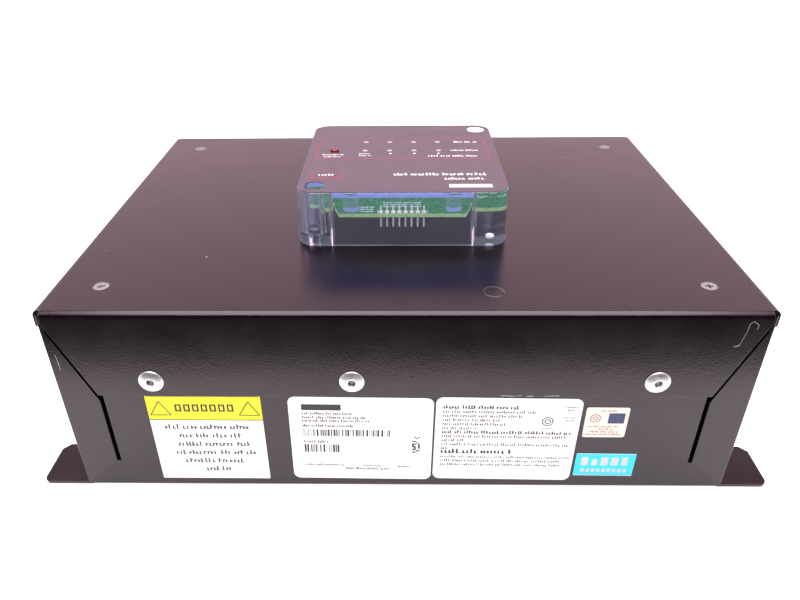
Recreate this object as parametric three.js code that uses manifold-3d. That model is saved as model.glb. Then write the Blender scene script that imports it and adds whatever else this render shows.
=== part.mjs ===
// Wall-mounted surge protective device: a folded sheet-steel case with a clear status-display
// module screwed to its cover. Millimetres. +X along the width, +Y away from the labelled wall,
// +Z out of the back plate; the origin is under the centre of the back plate.
import * as THREE from "three";
import { mergeVertices } from "three/addons/utils/BufferGeometryUtils.js";
import Module from "manifold-3d";

const wasm = await Module();
wasm.setup();

// ---------------------------------------------------------------- driving dimensions
const COVER_WIDTH = 267;
const COVER_DEPTH = 194;
const CASE_HEIGHT = 86;
const SHEET = 1.2;
const FIT_GAP = 0.3;
const SEAT_GAP = 0.05;
const COVER_BEND = 2.6;
const BEND_RADIUS = 1.8;
const ARC_STEPS = 4;
const SMALL_ROUND = 14;

const FLANGE_BOTTOM = 48.9;
const FLANGE_INSET = 16.9;
const FLANGE_SHOULDER = 82;
const CORNER_RELIEF = 0.7;
const MITRE_SETBACK = 2.4;
const LIP_HEIGHT = 8;
const LIP_CORNER_RADIUS = 1.6;

const WALL_TOP = 62;
const SLOT_INSET = 16.1;
const SLOT_WIDTH = 1.8;
const SLOT_BOTTOM = 13.5;

const EAR_REACH = 19.3;
const EAR_LENGTH = 22.4;
const EAR_CHAMFER = 3;
const EAR_RADIUS = 3;

const RIVET_XS = [-94.8, -19.1, 94.8];
const RIVET_HEIGHT = 56;
const RIVET_HEAD_DIAMETER = 9.5;
const RIVET_SHANK_DIAMETER = 4.8;

const COVER_SCREW_X = 114.2;
const COVER_SCREW_Y = 77.3;
const SCREW_HEAD_DIAMETER = 5.9;
const SCREW_SHANK_DIAMETER = 3;
const POST_DIAMETER = 6;
const POST_FOOT_WIDTH = 10;

const GROUND_STUD = { x: 33.7, y: -81.7, diameter: 7.6, rise: 0.12, shank: 4, length: 14 };

const POWER_BOARD = { width: 246, depth: 172, thickness: 1.6, bottom: 14.3 };
const WIRE_ENTRY = { x: -60, z: 28, hole: 28, bore: 20, flange: 34, flangeThickness: 2.2 };

const MODULE_Y = -0.9;
const MODULE_WIDTH = 87.4;
const MODULE_DEPTH = 87.4;
const MODULE_HEIGHT = 23.7;
const MODULE_CORNER_RADIUS = 8;
const MODULE_DRAFT = 0.5;
const MODULE_WALL = 2.2;
const MODULE_TOP = 2.5;
const MODULE_POST = 14.8;
const MODULE_BORE_DIAMETER = 8.9;
const MODULE_BORE_OFFSET = 36.2;
const MODULE_FOOT = 4;
const BOSS_DIAMETER = 6.6;
const BOSS_X = 21.3;
const BOSS_Y = 34.3;
const OVERLAY_THICKNESS = 0.2;
const OVERLAY_EDGE = 0.25;

const DISPLAY_BOARD_BOTTOM = 97.1;
const DISPLAY_BOARD_THICKNESS = 1.6;
const DISPLAY_BOARD_FRONT = -39.6;
const PIN_COUNT = 8;
const PIN_PITCH = 2.54;
const PIN_SIZE = 0.64;
const PIN_Y = -38;
const PIN_TIP = 92.1;
const PIN_TAIL = 101.4;

const LED_COLUMNS = [-16.95, -5.75, 5.45, 16.65];
const LED_ROWS = [5.1, 16.8];
const LED_WINDOW_DIAMETER = 2.5;

const BUTTON = { x: -30.8, y: 4.1, diameter: 4.1, rise: 1.3, travel: 0.5 };
const SWITCH_SIZE = 6;
const SWITCH_HEIGHT = 3.4;
const RIBBON = { y: 22, width: 20, thickness: 1, sway: 8 };

// name, centre along X, centre height, width, height, corner radius, clockwise tilt in degrees
const LABELS = [
  ["two_tone_label", -77.3, 25.8, 44.7, 44.1, 0.4, 0.1],
  ["barcode_label", -16.4, 25.6, 56.6, 43.4, 3, 0.7],
  ["rating_label", 40.9, 25.5, 56.5, 43.3, 3, 0.8],
  ["listing_label", 79.3, 34.9, 16.7, 15.2, 1.2, 0.3],
  ["blue_label", 82.2, 12.3, 24.1, 12.3, 0.4, 0.7],
];
const LABEL_THICKNESS = 0.15;

// ---------------------------------------------------------------- worked out from them
const coverHalfWidth = COVER_WIDTH / 2;
const coverHalfDepth = COVER_DEPTH / 2;
const coverUnderside = CASE_HEIGHT - SHEET;
const lipBottom = CASE_HEIGHT - LIP_HEIGHT;
const flangeRun = coverHalfWidth - COVER_BEND - CORNER_RELIEF;
const flangeFoot = coverHalfWidth - FLANGE_INSET;
const mitreSlope = (flangeRun - flangeFoot) / (FLANGE_SHOULDER - FLANGE_BOTTOM);
const panHalfWidth = coverHalfWidth - SHEET - FIT_GAP;
const panHalfDepth = coverHalfDepth - SHEET - FIT_GAP;
const panTop = coverUnderside - 2 * FIT_GAP;
const moduleTop = CASE_HEIGHT + MODULE_HEIGHT;
const overlayBottom = moduleTop - OVERLAY_THICKNESS;
const displayBoardTop = DISPLAY_BOARD_BOTTOM + DISPLAY_BOARD_THICKNESS;
const powerBoardTop = POWER_BOARD.bottom + POWER_BOARD.thickness;
const windowUnderside = overlayBottom - SEAT_GAP - MODULE_TOP;

// ---------------------------------------------------------------- materials
function material(color, roughness, metalness, opacity = 1) {
  return new THREE.MeshStandardMaterial({
    color, roughness, metalness, opacity, transparent: opacity < 1,
  });
}

const blackPaint = material(0x3a3338, 0.45, 0.1);
const aluminium = material(0xd8d8dc, 0.3, 1);
const zincSteel = material(0xb9bcc0, 0.35, 1);
const darkSteel = material(0x2c2b2e, 0.4, 0.8);
const clearPlastic = material(0xdfe4f2, 0.06, 0, 0.3);
const greyFilm = material(0xa38891, 0.4, 0);
const greenBoard = material(0x1f7a3a, 0.4, 0);
const tinned = material(0xe6e2d8, 0.25, 1);
const redPlastic = material(0xa01c1c, 0.35, 0);
const blackPlastic = material(0x1c1c1e, 0.5, 0);
const ledPlastic = material(0xe4e6ea, 0.2, 0);
const varistorCoat = material(0x2b4a86, 0.55, 0);
const fuseBody = material(0xcfc8b8, 0.5, 0);
const ribbonGrey = material(0x9a9ea6, 0.6, 0);
const labelWhite = material(0xf6f6f4, 0.5, 0);
const labelYellow = material(0xf2ea10, 0.5, 0);
const labelCream = material(0xf1e9d6, 0.5, 0);
const labelBlue = material(0x5bd7f0, 0.5, 0);

// ---------------------------------------------------------------- solids
function toSolid(geometry) {
  geometry.deleteAttribute("normal");
  geometry.deleteAttribute("uv");
  const merged = mergeVertices(geometry, 1e-4);
  const index = merged.index.array;
  const triangles = [];
  for (let i = 0; i < index.length; i += 3) {
    const [a, b, c] = [index[i], index[i + 1], index[i + 2]];
    if (a !== b && b !== c && c !== a) {
      triangles.push(a, b, c);
    }
  }
  const mesh = new wasm.Mesh({
    numProp: 3,
    vertProperties: new Float32Array(merged.attributes.position.array),
    triVerts: new Uint32Array(triangles),
  });
  return new wasm.Manifold(mesh);
}

function toMesh(name, solid, finish) {
  const cut = solid.getMesh();
  const geometry = new THREE.BufferGeometry();
  geometry.setAttribute("position", new THREE.BufferAttribute(cut.vertProperties, 3));
  geometry.setIndex(new THREE.BufferAttribute(cut.triVerts, 1));
  geometry.computeVertexNormals();
  const mesh = new THREE.Mesh(geometry, finish);
  mesh.name = name;
  return mesh;
}

function box(x0, x1, y0, y1, z0, z1) {
  const geometry = new THREE.BoxGeometry(x1 - x0, y1 - y0, z1 - z0);
  geometry.translate((x0 + x1) / 2, (y0 + y1) / 2, (z0 + z1) / 2);
  return toSolid(geometry);
}

function flatExtrusion(outline, depth) {
  return new THREE.ExtrudeGeometry(outline, { depth, bevelEnabled: false, curveSegments: ARC_STEPS / 2 });
}

// An outline drawn in X and Y, between two heights.
function alongZ(outline, z0, z1) {
  const geometry = flatExtrusion(outline, z1 - z0);
  geometry.translate(0, 0, z0);
  return toSolid(geometry);
}

// An outline drawn in X and Z, between two depths.
function alongY(outline, y0, y1) {
  const geometry = flatExtrusion(outline, y1 - y0);
  geometry.applyMatrix4(new THREE.Matrix4().set(1, 0, 0, 0, 0, 0, -1, 0, 0, 1, 0, 0, 0, 0, 0, 1));
  geometry.translate(0, y1, 0);
  return toSolid(geometry);
}

// An outline drawn in Y and Z, between two places across the width.
function alongX(outline, x0, x1) {
  const geometry = flatExtrusion(outline, x1 - x0);
  geometry.applyMatrix4(new THREE.Matrix4().set(0, 0, 1, 0, 1, 0, 0, 0, 0, 1, 0, 0, 0, 0, 0, 1));
  geometry.translate(x0, 0, 0);
  return toSolid(geometry);
}

function polygon(points) {
  return new THREE.Shape(points.map(([a, b]) => new THREE.Vector2(a, b)));
}

function circle(diameter, x, y, segments = 16) {
  return polygon(Array.from({ length: segments }, (_, step) => {
    const angle = (2 * Math.PI * step) / segments;
    return [x + (diameter / 2) * Math.cos(angle), y + (diameter / 2) * Math.sin(angle)];
  }));
}

function roundedRectangle(width, depth, radius, centreX = 0, centreY = 0) {
  const [x0, x1] = [centreX - width / 2, centreX + width / 2];
  const [y0, y1] = [centreY - depth / 2, centreY + depth / 2];
  const shape = new THREE.Shape();
  shape.moveTo(x0 + radius, y0);
  shape.lineTo(x1 - radius, y0);
  shape.absarc(x1 - radius, y0 + radius, radius, -Math.PI / 2, 0);
  shape.lineTo(x1, y1 - radius);
  shape.absarc(x1 - radius, y1 - radius, radius, 0, Math.PI / 2);
  shape.lineTo(x0 + radius, y1);
  shape.absarc(x0 + radius, y1 - radius, radius, Math.PI / 2, Math.PI);
  shape.lineTo(x0, y0 + radius);
  shape.absarc(x0 + radius, y0 + radius, radius, Math.PI, Math.PI * 1.5);
  return shape;
}

// A turned piece: profile points are [radius, height] pairs that start and end on the axis,
// or close on themselves for a ring.
function turned(profile, segments = 20) {
  const points = profile.map(([radius, height]) => new THREE.Vector2(radius, height));
  return toSolid(new THREE.LatheGeometry(points, segments).rotateX(Math.PI / 2));
}

function rod(diameter, x, y, z0, z1, segments = SMALL_ROUND) {
  const radius = diameter / 2;
  return turned([[0, z0], [radius, z0], [radius, z1], [0, z1]], segments).translate(x, y, 0);
}

function joined(solids) {
  return solids.reduce((whole, solid) => whole.add(solid));
}

function cutFrom(solid, tools) {
  return tools.reduce((rest, tool) => rest.subtract(tool), solid);
}

// Turns a piece made along +Z so that it points along -Y (side = -1) or +Y (side = 1).
function facing(solid, side) {
  return side < 0 ? solid.rotate([90, 0, 0]) : solid.rotate([-90, 0, 0]);
}

const signs = [-1, 1];
const corners = [[-1, -1], [1, -1], [-1, 1], [1, 1]];

// ---------------------------------------------------------------- folded steel case
// The section of a folded sheet: a flat web at the top and a leg down each side.
function foldedSection(halfWidth, top, legBottom) {
  const inner = halfWidth - SHEET;
  const innerRadius = COVER_BEND - SHEET;
  const shape = new THREE.Shape();
  shape.moveTo(-halfWidth, legBottom);
  shape.lineTo(-inner, legBottom);
  shape.lineTo(-inner, top - SHEET - innerRadius);
  shape.absarc(-inner + innerRadius, top - COVER_BEND, innerRadius, Math.PI, Math.PI / 2, true);
  shape.lineTo(inner - innerRadius, top - SHEET);
  shape.absarc(inner - innerRadius, top - COVER_BEND, innerRadius, Math.PI / 2, 0, true);
  shape.lineTo(inner, legBottom);
  shape.lineTo(halfWidth, legBottom);
  shape.lineTo(halfWidth, top - COVER_BEND);
  shape.absarc(halfWidth - COVER_BEND, top - COVER_BEND, COVER_BEND, 0, Math.PI / 2);
  shape.lineTo(-halfWidth + COVER_BEND, top);
  shape.absarc(-halfWidth + COVER_BEND, top - COVER_BEND, COVER_BEND, Math.PI / 2, Math.PI);
  return shape;
}

// The corner that is cut off the end of a side lip, so that the lip ends in an arc.
function lipCorner(side) {
  const end = side * (coverHalfDepth - COVER_BEND);
  const shape = new THREE.Shape();
  shape.moveTo(end + side, lipBottom - 1);
  shape.lineTo(end - side * LIP_CORNER_RADIUS, lipBottom - 1);
  shape.lineTo(end - side * LIP_CORNER_RADIUS, lipBottom);
  for (let step = 1; step <= ARC_STEPS; step += 1) {
    const angle = (Math.PI / 2) * (step / ARC_STEPS);
    const y = end - side * LIP_CORNER_RADIUS * (1 - Math.sin(angle));
    shape.lineTo(y, lipBottom + LIP_CORNER_RADIUS * (1 - Math.cos(angle)));
  }
  shape.lineTo(end + side, lipBottom + LIP_CORNER_RADIUS);
  return shape;
}

function rivetHoles() {
  const diameter = RIVET_SHANK_DIAMETER + 2 * FIT_GAP;
  const reach = coverHalfDepth + 1;
  return RIVET_XS.map((x) => alongY(circle(diameter, x, RIVET_HEIGHT), -reach, reach));
}

function countersink() {
  const headRadius = SCREW_HEAD_DIAMETER / 2 + 1.5 * FIT_GAP;
  const shankRadius = SCREW_SHANK_DIAMETER / 2 + 2 * FIT_GAP;
  return turned([
    [0, coverUnderside - 1], [shankRadius, coverUnderside - 1], [shankRadius, coverUnderside],
    [headRadius, CASE_HEIGHT], [headRadius, CASE_HEIGHT + 1], [0, CASE_HEIGHT + 1],
  ]);
}

function frontCover() {
  const webAndFlanges = alongX(
    foldedSection(coverHalfDepth, CASE_HEIGHT, FLANGE_BOTTOM), -flangeRun, flangeRun);
  const lipRun = coverHalfDepth - COVER_BEND;
  const webAndLips = alongY(foldedSection(coverHalfWidth, CASE_HEIGHT, lipBottom), -lipRun, lipRun);

  const bevels = signs.map((side) => alongY(polygon([
    [side * (flangeRun + 1), FLANGE_SHOULDER],
    [side * flangeRun, FLANGE_SHOULDER],
    [side * flangeFoot, FLANGE_BOTTOM],
    [side * flangeFoot, FLANGE_BOTTOM - 1],
    [side * (flangeRun + 1), FLANGE_BOTTOM - 1],
  ]), -coverHalfDepth - 1, coverHalfDepth + 1));
  const lipCorners = corners.map(([sideX, sideY]) => {
    const outside = sideX * (coverHalfWidth + 1);
    const inside = sideX * (coverHalfWidth - SHEET - FIT_GAP);
    return alongX(lipCorner(sideY), Math.min(outside, inside), Math.max(outside, inside));
  });
  const screwHoles = corners.map(
    ([sideX, sideY]) => countersink().translate(sideX * COVER_SCREW_X, sideY * COVER_SCREW_Y, 0));
  const moduleHoles = signs.map((side) => {
    const offset = side * MODULE_BORE_OFFSET;
    return rod(4.2, offset, MODULE_Y + offset, coverUnderside - 1, CASE_HEIGHT + 1);
  });
  const slotHalfWidth = RIBBON.width / 2 + 2;
  const ribbonSlot = box(
    -slotHalfWidth, slotHalfWidth, RIBBON.y - 5, RIBBON.y + 5, coverUnderside - 1, CASE_HEIGHT + 1);

  const studHole = rod(
    GROUND_STUD.diameter + 2 * SEAT_GAP, GROUND_STUD.x, GROUND_STUD.y, coverUnderside - 1, CASE_HEIGHT + 1);
  const tools = [...bevels, ...lipCorners, ...screwHoles, ...moduleHoles, ribbonSlot, studHole];
  return cutFrom(webAndFlanges.add(webAndLips), [...tools, ...rivetHoles()]);
}

// A mounting ear at the foot of a side wall, with the weld that fills the bend behind it.
function ear(sideX, sideY) {
  const root = sideX * (panHalfWidth - BEND_RADIUS);
  const wall = sideX * panHalfWidth;
  const tip = sideX * (panHalfWidth + EAR_REACH);
  const front = sideY * panHalfDepth;
  const back = sideY * (panHalfDepth - EAR_LENGTH);
  const shape = new THREE.Shape();
  shape.moveTo(root, front);
  for (let step = 0; step <= ARC_STEPS; step += 1) {
    const angle = (Math.PI / 2) * (step / ARC_STEPS);
    const x = tip - sideX * EAR_RADIUS * (1 - Math.sin(angle));
    shape.lineTo(x, front - sideY * EAR_RADIUS * (1 - Math.cos(angle)));
  }
  shape.lineTo(tip, back + sideY * EAR_CHAMFER);
  shape.lineTo(tip - sideX * EAR_CHAMFER, back);
  shape.lineTo(root, back);
  const weld = box(
    Math.min(root, wall), Math.max(root, wall), Math.min(front, back), Math.max(front, back), 0, BEND_RADIUS);
  return alongZ(shape, 0, SHEET).add(weld);
}

// What is cut off a return flange so that its edge runs beside the cover flange's slanted edge.
function mitre(side) {
  const slotFar = coverHalfWidth - SLOT_INSET;
  const bend = panHalfWidth - BEND_RADIUS;
  const height = (x) => FLANGE_BOTTOM + (x - flangeFoot - MITRE_SETBACK) / mitreSlope;
  const outline = [
    [slotFar - 1, height(slotFar)], [slotFar, height(slotFar)], [bend, height(bend)],
    [bend, panTop + 1], [slotFar - 1, panTop + 1],
  ];
  return alongY(polygon(outline.map(([x, z]) => [side * x, z])), -panHalfDepth - 1, panHalfDepth + 1);
}

function rearPan() {
  const [w, d] = [panHalfWidth, panHalfDepth];
  const [width, depth] = [2 * w, 2 * d];
  const above = panTop + 2 * BEND_RADIUS;
  const envelope = alongZ(roundedRectangle(width, depth, BEND_RADIUS), 0, panTop)
    .intersect(alongY(roundedRectangle(width, above, BEND_RADIUS, 0, above / 2), -d, d))
    .intersect(alongX(roundedRectangle(depth, above, BEND_RADIUS, 0, above / 2), -w, w));
  const hollow = box(-w + SHEET, w - SHEET, -d + SHEET, d - SHEET, SHEET, above);
  const wallEdge = coverHalfWidth - SLOT_INSET - SLOT_WIDTH;
  const aboveWalls = box(-wallEdge - 0.5, wallEdge + 0.5, -d - 1, d + 1, WALL_TOP, above);
  const slots = signs.map((side) => {
    const [near, far] = [side * wallEdge, side * (wallEdge + SLOT_WIDTH)];
    return box(Math.min(near, far), Math.max(near, far), -d - 1, d + 1, SLOT_BOTTOM, above);
  });
  const entryHole = alongY(circle(WIRE_ENTRY.hole, WIRE_ENTRY.x, WIRE_ENTRY.z, 32), d - SHEET - 1, d + 1);
  const tools = [hollow, aboveWalls, ...slots, ...signs.map(mitre), entryHole, ...rivetHoles()];
  const shell = cutFrom(envelope, tools);
  return joined([shell, ...corners.map(([sideX, sideY]) => ear(sideX, sideY))]);
}

// ---------------------------------------------------------------- fasteners and posts
// A blind rivet along +Z: dome head with the pulled mandrel's hole, shank, and formed inner head.
function blindRivet() {
  const headRadius = RIVET_HEAD_DIAMETER / 2;
  const shankRadius = RIVET_SHANK_DIAMETER / 2;
  const grip = 2 * SHEET + FIT_GAP + 2 * SEAT_GAP;
  return turned([
    [0, -grip - 2.4], [2.6, -grip - 2.2], [3.3, -grip], [shankRadius, -grip],
    [shankRadius, 0], [headRadius, 0], [headRadius, 0.35], [headRadius * 0.8, 1.05],
    [1.45, 1.45], [1.45, -0.6], [0, -0.6],
  ], SMALL_ROUND);
}

// A countersunk screw along +Z with a cross recess; its head's face lies just under the cover's.
function coverScrew() {
  const face = CASE_HEIGHT - 0.15;
  const headRadius = SCREW_HEAD_DIAMETER / 2;
  const shankRadius = SCREW_SHANK_DIAMETER / 2;
  const body = turned([
    [0, face - 10], [shankRadius, face - 9.4], [shankRadius, face - 1.3], [headRadius, face - 0.1],
    [headRadius - 0.1, face], [0, face],
  ], SMALL_ROUND);
  const bladeLength = 1.75;
  const bladeWidth = 0.45;
  const blade = (x, y) => box(-x, x, -y, y, face - 1.1, face + 1);
  return cutFrom(body, [blade(bladeLength, bladeWidth), blade(bladeWidth, bladeLength)]);
}

function boardPost() {
  const footBottom = SHEET + SEAT_GAP;
  const footHeight = POWER_BOARD.bottom - SEAT_GAP - footBottom;
  const foot = new THREE.CylinderGeometry(POST_FOOT_WIDTH / 2, POST_FOOT_WIDTH / 2, footHeight, 6);
  foot.rotateX(Math.PI / 2).translate(0, 0, footBottom + footHeight / 2);
  const column = rod(POST_DIAMETER, 0, 0, footBottom + 1, coverUnderside - SEAT_GAP);
  const thread = rod(SCREW_SHANK_DIAMETER + 2 * FIT_GAP, 0, 0, coverUnderside - 12, CASE_HEIGHT);
  return toSolid(foot).add(column).subtract(thread);
}

// A stud pressed into the cover: its head is flush on the outside, its shank takes the ground lead.
function groundStud() {
  const { x, y, diameter, rise, shank, length } = GROUND_STUD;
  const head = rod(diameter, x, y, coverUnderside, CASE_HEIGHT + rise);
  return head.add(rod(shank, x, y, coverUnderside - length, coverUnderside + SHEET / 2));
}

// A pan-head screw that holds the display module down, at the foot of its deep bore.
function moduleScrew() {
  const seat = CASE_HEIGHT + MODULE_FOOT + SEAT_GAP;
  const body = turned([
    [0, seat - 13], [1.75, seat - 12.4], [1.75, seat], [3.4, seat], [3.4, seat + 1.4],
    [2.6, seat + 2.2], [0, seat + 2.4],
  ], SMALL_ROUND);
  const slot = (x, y) => box(-x, x, -y, y, seat + 1, seat + 4);
  return cutFrom(body, [slot(1.9, 0.45), slot(0.45, 1.9)]);
}

// ---------------------------------------------------------------- power board and wiring
function powerBoard() {
  const shape = roundedRectangle(POWER_BOARD.width, POWER_BOARD.depth, 3);
  corners.forEach(([sideX, sideY]) => {
    shape.holes.push(circle(POST_DIAMETER + 2 * FIT_GAP, sideX * COVER_SCREW_X, sideY * COVER_SCREW_Y));
  });
  return alongZ(shape, POWER_BOARD.bottom, powerBoardTop);
}

// An epoxy-coated varistor block that stands on the board, its broad faces towards +Y and -Y.
function varistor(x, y) {
  const [width, height, thickness] = [32, 34, 9];
  const bottom = powerBoardTop + FIT_GAP;
  const edge = 1;
  const outline = roundedRectangle(width - 2 * edge, height - 2 * edge, 4, x, bottom + height / 2);
  const geometry = new THREE.ExtrudeGeometry(outline, {
    depth: thickness - 2 * edge, bevelThickness: edge, bevelSize: edge, bevelSegments: 1, curveSegments: 1,
  });
  geometry.applyMatrix4(new THREE.Matrix4().set(1, 0, 0, 0, 0, 0, -1, 0, 0, 1, 0, 0, 0, 0, 0, 1));
  geometry.translate(0, y + thickness / 2 - edge, 0);
  return toSolid(geometry);
}

// A cartridge fuse lying along Y, with a wider metal ferrule at each end.
function thermalFuse(x, y) {
  const [length, ferrule, radius, bodyRadius] = [30, 7, 5, 4.4];
  const half = length / 2;
  const piece = turned([
    [0, -half], [radius, -half], [radius, -half + ferrule], [bodyRadius, -half + ferrule],
    [bodyRadius, half - ferrule], [radius, half - ferrule], [radius, half], [0, half],
  ], SMALL_ROUND);
  return facing(piece, 1).translate(x, y, powerBoardTop + FIT_GAP + radius);
}

function terminalBlock() {
  const [poles, pitch, depth, height] = [5, 13, 22, 24];
  const [x0, y0, bottom] = [-92, 46, powerBoardTop + FIT_GAP];
  const top = bottom + height;
  const body = box(x0, x0 + poles * pitch, y0, y0 + depth, bottom, top);
  const tools = [];
  for (let pole = 0; pole < poles; pole += 1) {
    const x = x0 + (pole + 0.5) * pitch;
    tools.push(box(x - 4, x + 4, y0 + 8, y0 + depth + 1, bottom + 4, bottom + 13));
    tools.push(rod(7, x, y0 + 11, bottom + 12, top + 1, 12));
  }
  return cutFrom(body, tools);
}

// A snap-in bushing that lines the wire-entry hole of the wall opposite the labels.
function wireEntryBushing() {
  const bore = WIRE_ENTRY.bore / 2;
  const neck = WIRE_ENTRY.hole / 2 - FIT_GAP;
  const flange = WIRE_ENTRY.flange / 2;
  const outside = SEAT_GAP;
  const inside = -SHEET - SEAT_GAP;
  const ring = turned([
    [bore + 1, WIRE_ENTRY.flangeThickness], [bore, WIRE_ENTRY.flangeThickness - 1], [bore, inside - 5],
    [neck, inside - 5], [neck + 0.9, inside - 0.2], [neck, inside - 0.2], [neck, outside], [flange, outside],
    [flange, WIRE_ENTRY.flangeThickness - 0.8], [flange - 0.8, WIRE_ENTRY.flangeThickness],
    [bore + 1, WIRE_ENTRY.flangeThickness],
  ], 28);
  return facing(ring, 1).translate(WIRE_ENTRY.x, panHalfDepth, WIRE_ENTRY.z);
}

const ribbonSocketTop = powerBoardTop + 9;

function ribbonSocket() {
  const bottom = powerBoardTop + FIT_GAP;
  const block = (width, depth, z0, z1) => box(
    -width / 2, width / 2, RIBBON.y - depth / 2, RIBBON.y + depth / 2, z0, z1);
  const body = block(RIBBON.width + 6, 8, bottom, ribbonSocketTop);
  const mouth = block(RIBBON.width + 2, 3, bottom + 3, ribbonSocketTop + 1);
  return body.subtract(mouth);
}

// A flat cable that rises in a slack S from the power board's socket to the display board.
function ribbonCable() {
  const [low, high] = [powerBoardTop + 4, DISPLAY_BOARD_BOTTOM - FIT_GAP];
  const steps = 16;
  const side = (offset) => Array.from({ length: steps + 1 }, (_, step) => {
    const share = step / steps;
    const sway = RIBBON.sway * Math.sin(Math.PI * share) ** 2 * Math.sin(2 * Math.PI * share);
    return [RIBBON.y + sway + offset, low + (high - low) * share];
  });
  const outline = [...side(RIBBON.thickness / 2), ...side(-RIBBON.thickness / 2).reverse()];
  return alongX(polygon(outline), -RIBBON.width / 2, RIBBON.width / 2);
}

// ---------------------------------------------------------------- display module
// A block with rounded corners that narrows towards its top.
function draftedBlock(width, depth, radius, z0, z1, draft) {
  const geometry = flatExtrusion(roundedRectangle(width, depth, radius), z1 - z0);
  const position = geometry.attributes.position;
  for (let i = 0; i < position.count; i += 1) {
    const share = position.getZ(i) / (z1 - z0);
    position.setX(i, position.getX(i) * (1 - (2 * draft * share) / width));
    position.setY(i, position.getY(i) * (1 - (2 * draft * share) / depth));
  }
  geometry.translate(0, MODULE_Y, z0);
  return toSolid(geometry);
}

function displayHousing() {
  const bottom = CASE_HEIGHT + SEAT_GAP;
  const top = overlayBottom - SEAT_GAP;
  const outer = draftedBlock(MODULE_WIDTH, MODULE_DEPTH, MODULE_CORNER_RADIUS, bottom, top, MODULE_DRAFT);
  const roomOutline = roundedRectangle(
    MODULE_WIDTH - 2 * MODULE_WALL, MODULE_DEPTH - 2 * MODULE_WALL,
    MODULE_CORNER_RADIUS - MODULE_WALL, 0, MODULE_Y);
  const overlap = 4;
  const posts = corners.map(([sideX, sideY]) => {
    const size = MODULE_POST + overlap;
    const x = sideX * (MODULE_WIDTH / 2 - MODULE_POST + size / 2);
    const y = MODULE_Y + sideY * (MODULE_DEPTH / 2 - MODULE_POST + size / 2);
    return alongZ(roundedRectangle(size, size, 3, x, y), bottom - 1, windowUnderside);
  });
  const cavity = cutFrom(alongZ(roomOutline, bottom - 1, windowUnderside), posts);
  const bosses = corners.map(([sideX, sideY]) => {
    const [x, y] = [sideX * BOSS_X, MODULE_Y + sideY * BOSS_Y];
    return rod(BOSS_DIAMETER, x, y, displayBoardTop + FIT_GAP, windowUnderside + 1, 16);
  });
  const bores = signs.flatMap((side) => {
    const [x, y] = [side * MODULE_BORE_OFFSET, MODULE_Y + side * MODULE_BORE_OFFSET];
    return [
      rod(MODULE_BORE_DIAMETER, x, y, CASE_HEIGHT + MODULE_FOOT, moduleTop + 1, 24),
      rod(4.2, x, y, CASE_HEIGHT - 1, CASE_HEIGHT + MODULE_FOOT + 1),
    ];
  });
  const holeDiameter = BUTTON.diameter + 2 * FIT_GAP;
  const buttonHole = rod(holeDiameter, BUTTON.x, BUTTON.y, windowUnderside - 1, moduleTop, 16);
  return cutFrom(joined([cutFrom(outer, [cavity]), ...bosses]), [...bores, buttonHole]);
}

function displayOverlay() {
  const inset = MODULE_DRAFT + OVERLAY_EDGE;
  const shape = roundedRectangle(
    MODULE_WIDTH - 2 * inset, MODULE_DEPTH - 2 * inset, MODULE_CORNER_RADIUS - inset, 0, MODULE_Y);
  LED_ROWS.forEach((y) => {
    LED_COLUMNS.forEach((x) => shape.holes.push(circle(LED_WINDOW_DIAMETER, x, y, 12)));
  });
  signs.forEach((side) => {
    const offset = side * MODULE_BORE_OFFSET;
    shape.holes.push(circle(MODULE_BORE_DIAMETER, offset, MODULE_Y + offset, 24));
  });
  shape.holes.push(circle(BUTTON.diameter + 2 * FIT_GAP, BUTTON.x, BUTTON.y, 16));
  return alongZ(shape, overlayBottom, moduleTop);
}

// The board's outline: a tab at the front and back between the corner posts, its corners cut off.
function displayBoard() {
  const [tab, shoulder, side] = [26.1, 28.6, 40.6];
  const [end, slope, notch] = [MODULE_Y - DISPLAY_BOARD_FRONT, 31.7, 28.3];
  const quarter = [[side, notch], [shoulder, notch], [shoulder, slope], [tab, end]];
  const half = [...quarter, ...quarter.map(([x, y]) => [-x, y]).reverse()];
  const outline = [...half, ...half.map(([x, y]) => [-x, -y])];
  const shape = polygon(outline.map(([x, y]) => [x, MODULE_Y + y]));
  for (let pin = 0; pin < PIN_COUNT; pin += 1) {
    shape.holes.push(circle(PIN_SIZE * Math.SQRT2 + FIT_GAP, pinX(pin), PIN_Y, 8));
  }
  return alongZ(shape, DISPLAY_BOARD_BOTTOM, displayBoardTop);
}

function pinX(pin) {
  return (pin - (PIN_COUNT - 1) / 2) * PIN_PITCH;
}

// A square pin with a small point at each end.
function headerPin(pin) {
  const half = PIN_SIZE / 2;
  const point = 0.3;
  const body = box(-half, half, -half, half, PIN_TIP + point, PIN_TAIL - point);
  const tip = new THREE.CylinderGeometry(half * 0.6, half * Math.SQRT2, point, 4).rotateY(Math.PI / 4);
  tip.rotateX(Math.PI / 2);
  const tail = toSolid(tip.clone().translate(0, 0, PIN_TAIL - point / 2));
  const nose = toSolid(tip.clone().rotateX(Math.PI).translate(0, 0, PIN_TIP + point / 2));
  return joined([body, tail, nose]).translate(pinX(pin), PIN_Y, 0);
}

// A 3 mm lamp with a collar and a domed top.
function statusLed(x, y) {
  const bottom = displayBoardTop + FIT_GAP;
  const radius = 1.5;
  const shoulder = bottom + 6.3;
  const dome = Array.from({ length: 3 }, (_, step) => {
    const angle = (Math.PI / 4) * step;
    return [radius * Math.cos(angle), shoulder + radius * Math.sin(angle)];
  });
  return turned([[0, bottom], [1.9, bottom], [1.9, bottom + 1], [radius, bottom + 1], ...dome], 10)
    .translate(x, y, 0);
}

const switchTop = displayBoardTop + SEAT_GAP + SWITCH_HEIGHT;
const switchFloor = displayBoardTop + 1;

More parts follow.
